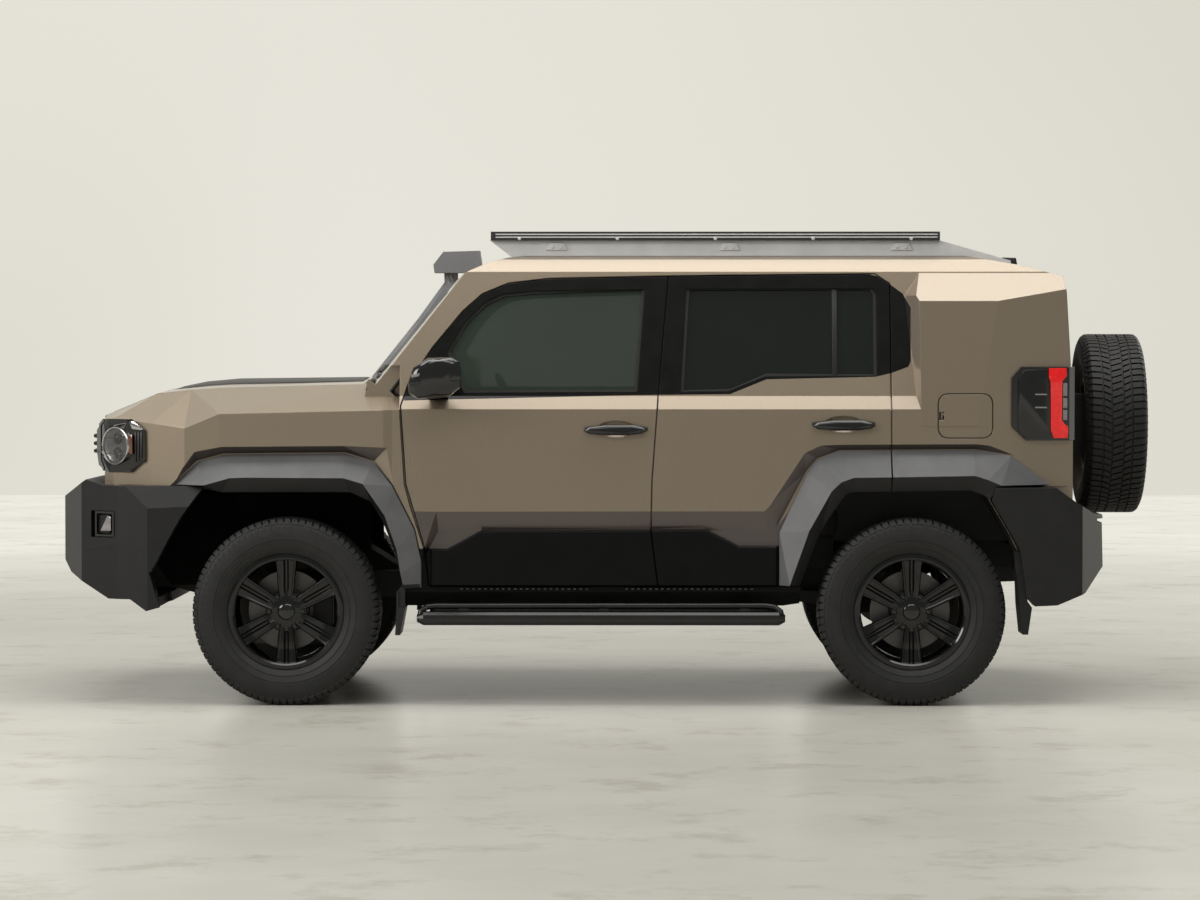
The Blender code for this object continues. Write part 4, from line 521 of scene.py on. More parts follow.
def fender_look(middle, normal):
    outward = normal.y * math.copysign(1.0, middle.y)
    hidden = abs(middle.y) < 0.8 and middle.z < 1.15 and middle.x < 1.9
    if outward < -0.3 or hidden or (in_arch(middle) and outward < 0.6):
        return "liner"
    if inside(CLADDING_AREA, middle.x, middle.z):
        return "cladding"
    # Painted shade on faces that turn down
    return "paint_painted_shade" if is_tucked(middle, normal) else "paint"


def flare_look(middle, normal):
    """Grey where a flare faces away from its wheel, black below its ridge and on the mud flap."""
    centre_x = WHEEL_CENTRES_X[0] if middle.x > 0.0 else WHEEL_CENTRES_X[1]
    away = Vector((middle.x - centre_x, 0.0, middle.z - WHEEL_CENTRE_Z)).normalized()
    low = away.dot(normal) < 0.02 or inside(MUD_FLAP_AREA, middle.x, middle.z)
    return "black" if low else "flare"


def hood_look(middle, normal):
    return "liner" if normal.z < -0.3 else "paint"


def tailgate_look(middle, normal):
    if normal.x > 0.5 and middle.x > -1.86:
        return "trim"
    if middle.x < -1.9185 and abs(middle.y) < 0.14:
        return "black"
    if middle.z > 1.34 and abs(middle.y) < 0.545 and middle.z < 1.7 and abs(normal.x) < 0.5:
        return "pillar"
    return "paint"


def dress_body():
    skin("body_shell", "body", ["paint", "paint_painted_shade", "trim", "liner", "pillar", "cladding"],
         [WINDOW_AREA, FRONT_ARCH, REAR_ARCH, CABIN_INSIDE], body_look)
    skin("hood", "hood", ["paint", "liner"], (), hood_look)
    skin("fuel_flap", "fuel_flap", ["paint"])
    skin("tailgate", "tailgate", ["paint", "trim", "black", "pillar"], (), tailgate_look)
    for word, side in SIDES:
        for stem in HANDLES:
            name = stem + "_" + word
            skin(name, name, ["paint", "paint_painted_shade", "pillar", "gloss", "trim", "cladding", "liner"],
                 [WINDOW_AREA, CLADDING_AREA], door_look(stem, side))
        skin("fender_" + word, "body", ["paint", "paint_painted_shade", "liner", "cladding"], [CLADDING_AREA],
             fender_look)
        skin("front_flare_" + word, "body", ["flare", "black"], [MUD_FLAP_AREA], flare_look, 20.0)
        skin("rear_flare_" + word, "body", ["flare", "black"], (), flare_look, 20.0)
        skin("door_flare_" + word, "door_rear_" + word, ["flare", "black"], (), flare_look, 20.0)


# Nodes of the body that keep their own shape: stem, look, angle over which an edge stays sharp

SMOOTH_NODES = [
    ("side_step", "step", 30.0), ("snorkel", "snorkel", 25.0), ("rack_base", "rack_base", 20.0),
    ("front_axle", "chassis", 30.0), ("rear_axle", "chassis", 30.0), ("engine", "chassis", 30.0),
    ("windscreen", "screen_glass", 25.0), ("dashboard", "trim", 30.0), ("front_bumper", "bumper", 14.0),
    ("rear_bumper", "bumper", 14.0)]
NODE_LOOKS = {
    "clear_glass": ["door_glass_front"], "dark_glass": ["door_glass_rear", "tailgate_glass"],
    "chassis": ["chassis_frame", "knuckle"], "rack": ["roof_rack"], "black": ["grille"]}


def nodes_of(stem):
    return [name for name in (stem, stem + "_left", stem + "_right") if name in NODES]


def dress_nodes():
    for stem, look, sharp in SMOOTH_NODES:
        for name in nodes_of(stem):
            skin(name, "body", [look], (), None, sharp)
    for look, stems in NODE_LOOKS.items():
        for name in [name for stem in stems for name in nodes_of(stem)]:
            NODES[name].data.materials.clear()
            NODES[name].data.materials.append(MATS[look])


# Wheels, built about the origin with the outer face towards +Y

TYRE_TOP = 0.3862
TREAD_FLOOR = 0.3778
LUGS = 78
# Outer half of the tyre's closed section: radius, offset
TYRE_SECTION = [
    (TREAD_FLOOR, 0.098), (0.376, 0.106), (0.368, 0.118), (0.355, 0.1255), (0.335, 0.131), (0.315, 0.1325),
    (0.2985, 0.1318), (0.297, 0.13), (0.293, 0.1296), (0.2915, 0.1312), (0.27, 0.124), (0.2685, 0.1222),
    (0.2655, 0.1218), (0.264, 0.1232), (0.25, 0.115), (0.24, 0.106), (0.2335, 0.1), (0.229, 0.098)]
# Tread blocks' sections: radius, offset
SHOULDER_LUG = [
    (0.3745, 0.064), (TYRE_TOP, 0.065), (TYRE_TOP, 0.09), (0.3846, 0.105), (0.3765, 0.1168), (0.364, 0.1236),
    (0.36, 0.1216), (0.37, 0.108)]
MIDDLE_LUG = [(0.3745, 0.029), (TYRE_TOP, 0.029), (TYRE_TOP, 0.0575), (0.3745, 0.0575)]
CENTRE_LUG = [(0.3745, -0.0215), (TYRE_TOP, -0.0215), (TYRE_TOP, 0.0215), (0.3745, 0.0215)]
SIDE_LUG = [(0.344, 0.1265), (0.344, 0.1303), (0.356, 0.1272), (0.356, 0.1235)]


def turned_point(radius, offset, angle):
    return Vector((radius * math.cos(angle), offset, radius * math.sin(angle)))


def add_lug_row(bm, section, phase, skew, share, flip=1.0):
    """A row of tread blocks; skew turns a block's end by that share of the pitch per 50 mm of offset."""
    pitch = 2.0 * math.pi / LUGS
    for index in range(LUGS):
        start = (index + phase) * pitch
        rings = []
        for edge in (0.0, share):
            turns = [start + pitch * (edge + skew * y / 0.05) for _, y in section]
            rings.append([turned_point(r, y * flip, turn) for (r, y), turn in zip(section, turns)])
        add_loft(bm, rings)


def tyre_mesh():
    bm = bmesh.new()
    section = TYRE_SECTION + [(r, -y) for r, y in reversed(TYRE_SECTION)]
    add_turned(bm, section, sides=104)
    for flip, shift in ((1.0, 0.0), (-1.0, 0.5)):
        add_lug_row(bm, SHOULDER_LUG, shift, 0.18, 0.74, flip)
        add_lug_row(bm, MIDDLE_LUG, shift + 0.35, 0.75, 0.72, flip)
        add_lug_row(bm, SIDE_LUG, shift + 0.12, 0.0, 0.4, flip)
    add_lug_row(bm, CENTRE_LUG, 0.1, 0.55, 0.76)
    return bm


RIM_SECTION = [
    (0.2286, 0.099), (0.236, 0.1), (0.2385, 0.104), (0.2375, 0.1085), (0.233, 0.1098), (0.222, 0.1098),
    (0.215, 0.104), (0.212, 0.092), (0.211, 0.06), (0.205, 0.0), (0.205, -0.08), (0.218, -0.098),
    (0.2286, -0.098)]
# Spokes: radius, half width, face offset
SPOKE_STATIONS = [
    (0.04, 0.026, 0.076), (0.066, 0.03, 0.079), (0.1, 0.0345, 0.082), (0.15, 0.0385, 0.083),
    (0.19, 0.0425, 0.084), (0.2135, 0.045, 0.09)]
SPOKE_DEPTH = 0.03
SPOKE_GROOVE = 0.011
HUB_SECTION = [
    (0.03, 0.05), (0.086, 0.05), (0.086, 0.069), (0.082, 0.073), (0.04, 0.08), (0.0365, 0.08),
    (0.035, 0.076), (0.03, 0.076)]
CAP_SECTION = [(0.0003, 0.084), (0.012, 0.0836), (0.022, 0.0822), (0.03, 0.0795), (0.0345, 0.076),
               (0.0345, 0.055)]
NUT_CIRCLE = 0.07
NUT_FOOT_Y = 0.07
NUT_SECTION = [(0.0003, 0.0175), (0.0075, 0.0165), (0.01, 0.012), (0.0105, 0.0), (0.0003, 0.0)]
DISC_SECTION = [(0.088, -0.046), (0.165, -0.046), (0.165, -0.022), (0.088, -0.022)]
BELL_SECTION = [(0.05, -0.04), (0.09, -0.04), (0.09, -0.01), (0.083, -0.004), (0.05, -0.004)]


def add_spoke(bm, angle):
    """One wide spoke with a V groove along its middle and small ridges along its edges."""
    along = turned_point(1.0, 0.0, angle)
    across = turned_point(1.0, 0.0, angle + math.pi / 2.0)
    rings = []
    for radius, half, face in SPOKE_STATIONS:
        groove = SPOKE_GROOVE * min(1.0, radius / 0.1)
        section = [
            (-half, face - SPOKE_DEPTH), (-half, face - 0.006), (-half + 0.004, face), (-half + 0.009, face),
            (-half + 0.012, face - 0.0025), (-groove, face - 0.0025), (-groove * 0.35, face - 0.0125),
            (groove * 0.35, face - 0.0125), (groove, face - 0.0025), (half - 0.012, face - 0.0025),
            (half - 0.009, face), (half - 0.004, face), (half, face - 0.006), (half, face - SPOKE_DEPTH)]
        rings.append([along * radius + across * u + Vector((0.0, v, 0.0)) for u, v in section])
    add_loft(bm, rings)


def add_nut(bm, angle):
    add_turned(bm, NUT_SECTION, turned_point(NUT_CIRCLE, NUT_FOOT_Y, angle), sides=6)


def rim_mesh():
    bm = bmesh.new()
    add_turned(bm, RIM_SECTION, sides=96)
    for index in range(6):
        add_spoke(bm, math.radians(90.0 + 60.0 * index))
    add_turned(bm, HUB_SECTION, sides=48)
    return bm


def fitting_mesh():
    """Wheel nuts and the blank centre cap."""
    bm = bmesh.new()
    for index in range(6):
        add_nut(bm, math.radians(60.0 + 60.0 * index))
    add_turned(bm, CAP_SECTION, sides=32, closed=False)
    return bm


def disc_mesh():
    bm = bmesh.new()
    add_turned(bm, DISC_SECTION, sides=64)
    add_turned(bm, BELL_SECTION, sides=40)
    return bm


def node_centre(name):
    low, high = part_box(name)
    return (Vector(low) + Vector(high)) / 2.0


def build_wheels():
    half_turn = Matrix.Rotation(math.pi, 4, "Z")
    meshes = {"tyre": tyre_mesh(), "rim": rim_mesh(), "gloss": fitting_mesh(), "disc": disc_mesh()}

    def wheel_piece(name, look, place, body, replaced=(), sharp=30.0):
        copy = meshes[look].copy()
        bmesh.ops.transform(copy, matrix=place, verts=copy.verts)
        new_piece(name, copy, look, body, replaced, sharp)

    for tag, side in [(end + "_" + word, side) for end in ("front", "rear") for word, side in SIDES]:
        place = Matrix.Translation(node_centre("tyre_" + tag)) @ (Matrix() if side > 0 else half_turn)
        body = "wheel_" + tag
        wheel_piece("tread_tyre_" + tag, "tyre", place, body, ("tyre_" + tag,), 28.0)
        wheel_piece("spoked_rim_" + tag, "rim", place, body, ("rim_" + tag,), 24.0)
        wheel_piece("wheel_fittings_" + tag, "gloss", place, body)
        wheel_piece("brake_disc_" + tag, "disc", place, body)
    back = Matrix.Translation(node_centre("spare_tyre")) @ axis_frame((-1.0, 0.0, 0.0))
    wheel_piece("tread_spare_tyre", "tyre", back, "tailgate", ("spare_tyre",), 28.0)
    wheel_piece("spoked_spare_rim", "rim", back, "tailgate", ("spare_rim",), 24.0)
    wheel_piece("spare_fittings", "gloss", back, "tailgate")
    for bm in meshes.values():
        bm.free()


# Places in the photograph, in pixels, brought to metres at a depth

PHOTO_CENTRE = (639.0, 350.0)


def photo_point(px, py, depth):
    """Side-view place (x, z) of a pixel of the photograph, for something at y = depth."""
    scale = (CAMERA_PLACE.y - depth) / FOCAL_PIXELS
    return (CAMERA_PLACE.x - (px - PHOTO_CENTRE[0]) * scale, CAMERA_PLACE.z + (PHOTO_CENTRE[1] - py) * scale)


def photo_outline(pixels, depth):
    return [photo_point(px, py, depth) for px, py in pixels]


def middle_of(outline):
    return [sum(values) / len(outline) for values in zip(*outline)]


def plan_depth(plan, x):
    """The outer y of a plan outline, given as (x, y) from front to rear, at x."""
    for (x0, y0), (x1, y1) in zip(plan, plan[1:]):
        if x1 <= x <= x0:
            return y0 + (y1 - y0) * (x0 - x) / (x0 - x1)
    return plan[0][1] if x > plan[0][0] else plan[-1][1]


def add_overlay(bm, outline, surface, height, depth=0.008, bevel=0.0):
    """A plate lying on a surface y = surface(x, z), standing out by height."""
    faces = add_loft(bm, [[(x, surface(x, z) + lift, z) for x, z in outline] for lift in (-depth, height)])
    soften(bm, faces, bevel)


def add_frame(bm, outline, width, surface, height, depth=0.006):
    """A closed strip of even width inside an outline, on a surface."""
    middle = middle_of(outline)
    inner = []
    for x, z in outline:
        away = Vector((x - middle[0], z - middle[1])).normalized() * width * 1.3
        inner.append((x - away.x, z - away.y))
    count = len(outline)
    for index in range(count):
        after = (index + 1) % count
        add_overlay(bm, [outline[index], outline[after], inner[after], inner[index]], surface, height, depth)


# Lamps

HEADLAMP_PLAN = [(2.145, 0.64), (2.08, 0.752), (1.925, 0.83)]
HEADLAMP_AIM = Vector((0.643, 0.766, 0.0))
HEADLAMP_CENTRE = Vector((2.05, 0.773, 1.0676))
HEADLAMP_BORE = (0.0785, -0.022, 0.06)
TAIL_LAMP_PLAN = [(-1.66, 0.862), (-1.8, 0.84), (-1.9, 0.815), (-1.925, 0.78)]
FOG_PLAN = [(2.195, 0.75), (2.03, 0.87)]
LAMP_Y = 0.79
RIM_Y = 0.74
TAIL_Y = 0.825
FOG_Y = 0.82
# Turned lamp parts: radius, height over the lamp's centre
RING_SECTION = [
    (0.069, -0.03), (0.079, -0.03), (0.08, 0.001), (0.078, 0.005), (0.074, 0.004), (0.07, -0.004)]
BOWL_SECTION = [
    (0.0003, -0.02), (0.07, -0.02), (0.07, -0.006), (0.064, -0.008), (0.056, -0.015), (0.04, -0.016),
    (0.0003, -0.016)]
EYE_SECTION = [
    (0.0003, 0.002), (0.01, 0.001), (0.019, -0.004), (0.023, -0.01), (0.024, -0.018), (0.0003, -0.018)]
COVER_SECTION = [
    (0.0003, 0.0125), (0.025, 0.0115), (0.05, 0.0085), (0.07, 0.0045), (0.0775, 0.0015), (0.0775, -0.001),
    (0.07, 0.0015), (0.05, 0.0055), (0.025, 0.0085), (0.0003, 0.0095)]
EYE_LIFT = 0.03
BAR_REACH = 0.062
BAR_LIFT = 0.0312
HEADLAMP_RIM = [(96, 424), (101, 419), (134, 419), (147, 430), (147.5, 459), (132, 472), (101, 471),
                (96, 462)]
RED_LOOP = [
    (1048, 368), (1066, 368), (1066.5, 376), (1061.5, 381), (1061, 420), (1064, 424), (1068, 427),
    (1067.5, 438), (1053, 438), (1050, 429), (1050, 382), (1048, 377)]
TAIL_COVER = [
    (1023, 370), (1046, 369), (1046, 378), (1048, 383), (1048, 429), (1050, 437), (1023, 437), (1017, 430),
    (1017, 379)]


def headlamp_surface(x, z):
    return plan_depth(HEADLAMP_PLAN, x)


def tail_surface(x, z):
    return plan_depth(TAIL_LAMP_PLAN, x)


def fog_surface(x, z):
    return plan_depth(FOG_PLAN, x)


RIB_LEFTS = (134.0, 137.1, 140.2, 143.3)
# Painted highlight: outline of a bright metal plate standing in for the sky's reflection on the chamfer at
# the lamp block's top rear corner
HIGHLIGHT_FACET = [(129, 422), (133, 421), (144, 429), (141, 430), (132, 429)]
REVERSE_LEVELS = ((383, 396), (398, 408), (410, 420))
MARK_LEVELS = (394.3, 407.3)
FOG_LENS = [(99, 531), (110.5, 531), (110.5, 517), (107, 515.5)]
CREASE = [(81.5, 550), (112, 546.5), (112, 547.6), (81.5, 551.2)]


def plate_piece(name, look, outlines, y, surface, height, depth, bevel=0.0):
    """Plates on both sides of the car, their outlines given in pixels for the depth y."""
    bm = bmesh.new()
    for pixels in outlines:
        add_overlay(bm, photo_outline(pixels, y), surface, height, depth, bevel)
    both_sides(name, bm, look)


def frame_piece(name, pixels, y, width, surface, height, depth):
    bm = bmesh.new()
    add_frame(bm, photo_outline(pixels, y), width, surface, height, depth)
    both_sides(name, bm, "gloss")


def bore_headlamp(housing, side):
    """Cuts the round recess that holds the reflector out of a lamp's housing."""
    radius, floor, mouth = HEADLAMP_BORE
    turn = Matrix.Scale(side, 4, (0.0, 1.0, 0.0))
    bm = bmesh.new()
    section = [(0.0003, floor), (radius, floor), (radius, mouth), (0.0003, mouth)]
    add_turned(bm, section, turn @ HEADLAMP_CENTRE, turn @ HEADLAMP_AIM, 56)
    cutter = bpy.data.objects.new("headlamp_cutter", mesh_from("headlamp_cutter", bm, "gloss"))
    bpy.context.scene.collection.objects.link(cutter)
    recess = housing.modifiers.new("recess", "BOOLEAN")
    recess.operation = "DIFFERENCE"
    recess.object = cutter
    bpy.context.view_layer.update()
    found = housing.evaluated_get(bpy.context.evaluated_depsgraph_get())
    mesh = bpy.data.meshes.new_from_object(found)
    housing.modifiers.clear()
    housing.data = mesh
    for polygon in mesh.polygons:
        polygon.material_index = 0
    shade_smooth(mesh, 20.0)
    bpy.data.objects.remove(cutter, do_unlink=True)


def lamp_turned(name, look, section, sides, lifts=(0.0,)):
    bm = bmesh.new()
    for lift in lifts:
        add_turned(bm, section, HEADLAMP_CENTRE + Vector((0.0, 0.0, lift)), HEADLAMP_AIM, sides)
    both_sides(name, bm, look)


def build_headlamps():
    for word, side in SIDES:
        bore_headlamp(skin("headlamp_" + word, "body", ["gloss"], (), None, 20.0), side)
    ring = bmesh.new()
    add_turned(ring, RING_SECTION, HEADLAMP_CENTRE, HEADLAMP_AIM, 56)
    across = HEADLAMP_AIM.cross(Vector((0.0, 0.0, 1.0)))
    for lift in (-BAR_LIFT, BAR_LIFT):
        middle = HEADLAMP_CENTRE + Vector((0.0, 0.0, lift)) - HEADLAMP_AIM * 0.002
        add_tube(ring, [middle + across * reach for reach in (-BAR_REACH, BAR_REACH)], 0.0022, 8)
    both_sides("headlamp_ring", ring, "reflector")
    lamp_turned("headlamp_bowl", "steel", BOWL_SECTION, 48)
    lamp_turned("headlamp_eyes", "gloss", EYE_SECTION, 32, (-EYE_LIFT, EYE_LIFT))
    lamp_turned("headlamp_cover", "clear_lens", COVER_SECTION, 56)
    marker = [rectangle(129.3, 434.5, 132.5, 454)]
    ribs = [rectangle(left, 432, left + 2.4, 462) for left in RIB_LEFTS]
    plate_piece("headlamp_marker", "orange_lens", marker, LAMP_Y, headlamp_surface, 0.02, 0.004, 0.001)
    plate_piece("headlamp_ribs", "black", ribs, LAMP_Y, headlamp_surface, 0.005, 0.004, 0.001)
    frame_piece("headlamp_rim", HEADLAMP_RIM, RIM_Y, 0.009, headlamp_surface, 0.006, 0.006)
    # Painted highlight: a bright metal plate where the lamp block's chamfer reflects the sky
    plate_piece("headlamp_painted_highlight", "reflector", [HIGHLIGHT_FACET], LAMP_Y, headlamp_surface, 0.0085, 0.004, 0.001)


def build_tail_lamps():
    for word, _ in SIDES:
        skin("tail_lamp_" + word, "body", ["gloss"], (), None, 12.0)
    reverse = [rectangle(1062.5, low, 1067.0, high) for low, high in REVERSE_LEVELS]
    marks = [rectangle(1034.0, level - 0.7, 1046.0, level + 0.7) for level in MARK_LEVELS]
    plate_piece("tail_lamp_red", "red_lens", [RED_LOOP], TAIL_Y, tail_surface, 0.006, 0.006, 0.0012)
    plate_piece("tail_lamp_reverse", "grey_lens", reverse, TAIL_Y, tail_surface, 0.003, 0.006, 0.001)
    plate_piece("tail_lamp_cover", "gloss", [TAIL_COVER], TAIL_Y, tail_surface, 0.007, 0.006, 0.0025)
    plate_piece("tail_lamp_marks", "grey_lens", marks, TAIL_Y, tail_surface, 0.0085, 0.004)


def build_fog_lamps():
    outline = rectangle(93.5, 511.5, 114.0, 536.5)
    frame_piece("fog_lamp_frame", outline, FOG_Y, 0.008, fog_surface, 0.004, 0.012)
    plate_piece("fog_lamp_lens", "grey_lens", [FOG_LENS], FOG_Y, fog_surface, -0.004, 0.012, 0.001)
    plate_piece("bumper_crease", "bumper", [CREASE], FOG_Y, fog_surface, 0.002, 0.006)


# Grille slat: x, height over its middle
SLAT_SECTION = [
    (2.14, -0.009), (2.176, -0.009), (2.184, -0.005), (2.184, 0.005), (2.176, 0.009), (2.14, 0.009)]


def build_grille_slats():
    bars = bmesh.new()
    for level in (435.9, 443.4, 450.9):
        _, z = photo_point(92.0, level, 0.47)
        add_prism(bars, [(x, z + rise) for x, rise in SLAT_SECTION], -0.455, 0.455, 0.0015)
    for index in range(9):
        y = -0.4 + 0.1 * index
        add_box(bars, (2.13, 2.172), (y - 0.004, y + 0.004), (1.0, 1.125), 0.001)
    new_piece("grille_bars", bars, "black")


# Mirrors, windows, hood, roof and steps

MIRROR_OUTLINE = [
    (408, 382), (413, 367), (428, 358), (452, 356.5), (460, 361), (462, 372), (461, 388), (450, 396),
    (418, 399), (409, 394)]
MIRROR_STRIP = [(411, 383), (436, 379.5), (460, 379), (460, 381), (436, 381.8), (411, 385.5)]
MIRROR_SIGNAL = [(412, 374.5), (432, 371.5), (433, 374), (412, 377.5)]
MIRROR_Y = 1.0
# Mirror sections: y, share of the full outline
MIRROR_SHARES = [(0.905, 0.55), (0.925, 0.8), (0.965, 0.95), (1.01, 1.0), (1.04, 0.95), (1.054, 0.8),
                 (1.059, 0.55)]
SIDE_GLASS_Y = 0.828
SIDE_GLASS_Z = 1.275
SIDE_GLASS_LEAN = 0.2291
WINDOWS = {
    "door_front": [
        (0.672, 1.455), (0.599, 1.581), (0.519, 1.662), (0.447, 1.698), (0.321, 1.711), (-0.146, 1.718),
        (-0.115, 1.294), (0.6, 1.29)],
    "door_rear": [
        (-0.32, 1.72), (-1.09, 1.722), (-1.105, 1.7), (-1.105, 1.36), (-0.643, 1.357), (-0.491, 1.296),
        (-0.295, 1.294)]}
DIVIDER = (-0.943, 1.357, -0.922, 1.721)
SCREEN_FOOT = Vector((0.976, 0.0, 1.33))
SCREEN_SLOPE = Vector((-0.321, 0.0, 0.397))
SCREEN_OUT = Vector((0.777, 0.0, 0.629))
SCREEN_BOW = 0.03
SCREEN_HALF = 0.66
WIPER_SPANS = [(0.46, 0.02), (-0.08, -0.52)]
PIVOT_SECTION = [(0.0003, 0.012), (0.01, 0.01), (0.013, 0.0), (0.0003, 0.0)]
# Hood height along its middle and along its edge: x, middle z, edge z
HOOD_LINE = [(1.05, 1.346, 1.324), (1.605, 1.335, 1.308), (1.75, 1.322, 1.299), (1.85, 1.306, 1.288)]
HOOD_EDGE_Y = 0.62
INSERT_HALF = 0.36
INSERT_RIM = 0.012
INSERT_RISE = 0.006
COWL_SLOTS = 24
POD_OUTLINE = [(-1.655, 1.8), (-1.663, 1.858), (-1.69, 1.864), (-1.748, 1.862), (-1.758, 1.8)]
RACK_SIDE_Y = 0.64
RACK_SCREW = [(0.0003, 0.004), (0.006, 0.004), (0.0075, 0.002), (0.0075, 0.0), (0.0003, 0.0)]
FOOT_SCREW = [(0.0003, 0.0035), (0.005, 0.003), (0.006, 0.0), (0.0003, 0.0)]
FOOT_YS = (0.6205, 0.626)
FOOT_SCREW_Y = 0.6262
STEP_PAD_OUTLINE = [(1092, 514), (1101.5, 514), (1102, 518), (1095, 518.5)]
STEP_PADS = 22
HOOP_POINTS = [
    (0.782, 0.89, 0.362), (0.776, 0.884, 0.388), (0.752, 0.878, 0.405), (0.715, 0.875, 0.41),
    (-0.645, 0.875, 0.41), (-0.682, 0.878, 0.405), (-0.706, 0.884, 0.388), (-0.712, 0.89, 0.362)]
GRIP_OUTLINE = [
    (583, 431), (588, 426), (604, 422.6), (634, 422.6), (643, 426), (647, 431), (642, 435), (628, 437.5),
    (604, 437.5), (589, 435.5)]
GRIP_SHIFT = {"door_front": (0.0, 0.0), "door_rear": (229.0, -4.8)}
GRIP_Y = 0.9
# Grip sections: y, share of the outline's length and of its height
GRIP_SHARES = [(0.89, 0.96, 0.576), (0.8935, 1.0, 0.72), (0.901, 0.97, 0.6192), (0.9065, 0.86, 0.396)]
GUARD_OUTLINE = [(1.56, 0.86), (1.93, 0.86), (1.96, 0.62), (1.86, 0.47), (1.6, 0.47), (1.56, 0.56)]


def add_sections(bm, outline, shares):
    """An outline drawn through y, with its share along x and along z at each."""
    mid_x, mid_z = middle_of(outline)
    rings = []
    for y, long, tall in shares:
        rings.append([(mid_x + (x - mid_x) * long, y, mid_z + (z - mid_z) * tall) for x, z in outline])
    add_loft(bm, rings)


def build_mirrors():
    shell = bmesh.new()
    shares = [(y, share, share) for y, share in MIRROR_SHARES]
    add_sections(shell, photo_outline(MIRROR_OUTLINE, MIRROR_Y), shares)
    bmesh.ops.subdivide_edges(shell, edges=shell.edges[:], cuts=1, smooth=0.6)
    both_sides("mirror_shell", shell, "gloss", "door_front", "mirror", 35.0)
    base = bmesh.new()
    for y0, y1, grow in ((0.832, 0.88, 0.0), (0.88, 0.94, 0.006)):
        foot = [(0.742 + grow, 1.262), (0.742 + grow, 1.3 + grow), (0.672, 1.312 + grow), (0.664, 1.27)]
        add_prism(base, foot, y0, y1, 0.003)
    add_prism(base, photo_outline(MIRROR_STRIP, MIRROR_Y), 0.925, 1.0585, 0.0006)
    both_sides("mirror_foot", base, "black", "door_front")
    signal = bmesh.new()
    add_prism(signal, photo_outline(MIRROR_SIGNAL, MIRROR_Y), 0.985, 1.0572, 0.0006)
    both_sides("mirror_signal", signal, "grey_lens", "door_front")


def side_glass_surface(x, z):
    return SIDE_GLASS_Y - (z - SIDE_GLASS_Z) * SIDE_GLASS_LEAN


def build_window_trim():
    for stem, outline in WINDOWS.items():
        seal = bmesh.new()
        add_frame(seal, outline, 0.01, side_glass_surface, 0.0, 0.01)
        both_sides(stem + "_seal", seal, "seal", stem)
    divider = bmesh.new()
    add_overlay(divider, rectangle(*DIVIDER), side_glass_surface, 0.002, 0.01, 0.002)
    both_sides("door_rear_divider", divider, "seal", "door_rear")


def screen_point(up, y, lift):
    """A point on the windscreen: share of its height, y, and distance off the glass."""
    bow = SCREEN_BOW * (1.0 - (y / SCREEN_HALF) ** 2)
    return SCREEN_FOOT + SCREEN_SLOPE * up + SCREEN_OUT * lift + Vector((bow, y, 0.0))


def build_wipers():
    arms = bmesh.new()
    for start, end in WIPER_SPANS:
        arm = [(0.055, start, 0.004), (0.075, start - 0.06, 0.017), (0.15, end + 0.18, 0.016)]
        blade = [(0.095, start - 0.02, 0.009), (0.145, end + 0.2, 0.01), (0.17, end, 0.009)]
        add_tube(arms, [screen_point(*place) for place in arm], 0.0045, 8)
        add_tube(arms, [screen_point(*place) for place in blade], 0.0055, 6)
        add_turned(arms, PIVOT_SECTION, screen_point(0.055, start, -0.002), SCREEN_OUT, 16)
    new_piece("wipers", arms, "black")


def build_hood_insert():
    insert = bmesh.new()
    inner_y = INSERT_HALF - INSERT_RIM
    rings = []
    for x, middle, edge_z in HOOD_LINE:
        edge = middle + (edge_z - middle) * INSERT_HALF / HOOD_EDGE_Y
        rise = INSERT_RISE if 1.06 < x < 1.8 else 0.0015
        inner = middle + (edge_z - middle) * inner_y / HOOD_EDGE_Y + rise
        low = edge - 0.004
        high = edge + 0.0015
        section = [
            (-INSERT_HALF, low), (-INSERT_HALF, high), (-inner_y, inner), (0.0, middle + rise + 0.001),
            (inner_y, inner), (INSERT_HALF, high), (INSERT_HALF, low), (0.0, middle - 0.004)]
        rings.append([(x, y, z) for y, z in section])
    add_loft(insert, rings)
    new_piece("hood_insert", insert, "black", "hood")


def build_cowl():
    cowl = bmesh.new()
    add_box(cowl, (0.984, 1.004), (-0.6, 0.6), (1.32, 1.3385), 0.003)
    for index in range(COWL_SLOTS):
        y = -0.56 + index * 1.12 / (COWL_SLOTS - 1)
        add_box(cowl, (0.988, 1.002), (y - 0.006, y + 0.006), (1.337, 1.3405), 0.001)
    new_piece("cowl_panel", cowl, "black")


def build_roof_pod():
    pod = bmesh.new()
    add_prism(pod, POD_OUTLINE, -0.09, 0.09, 0.004)
    new_piece("roof_pod", pod, "black")


def build_rack_lines():
    """Two raised lines and five screws along each side of the rack."""
    lines = bmesh.new()
    low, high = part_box("roof_rack")
    xs = (low[0] + 0.01, high[0] - 0.02)
    for _, side in SIDES:
        for level in (0.35, 0.68):
            z = low[2] + (high[2] - low[2]) * level
            add_box(lines, xs, (side * RACK_SIDE_Y, side * (RACK_SIDE_Y + 0.0012)), (z - 0.0025, z + 0.0025))
    for index in range(5):
        x = low[0] + 0.12 + index * (high[0] - low[0] - 0.24) / 4
        for _, side in SIDES:
            place = (x, side * (RACK_SIDE_Y + 0.0005), low[2] + 0.007)
            add_turned(lines, RACK_SCREW, place, (0.0, side, 0.0), 12)
    new_piece("rack_side_lines", lines, "rack_base")


def build_rack_feet():
    feet = bmesh.new()
    for x in (0.22, -0.5, -1.22):
        for _, side in SIDES:
            outline = [(x - 0.045, 1.882), (x + 0.045, 1.882), (x + 0.028, 1.912), (x - 0.028, 1.912)]
            add_prism(feet, outline, side * FOOT_YS[0], side * FOOT_YS[1], 0.001)
            for step in (-0.018, 0.018):
                place = (x + step, side * FOOT_SCREW_Y, 1.894)
                add_turned(feet, FOOT_SCREW, place, (0.0, side, 0.0), 10)
    new_piece("rack_feet", feet, "rack_base")


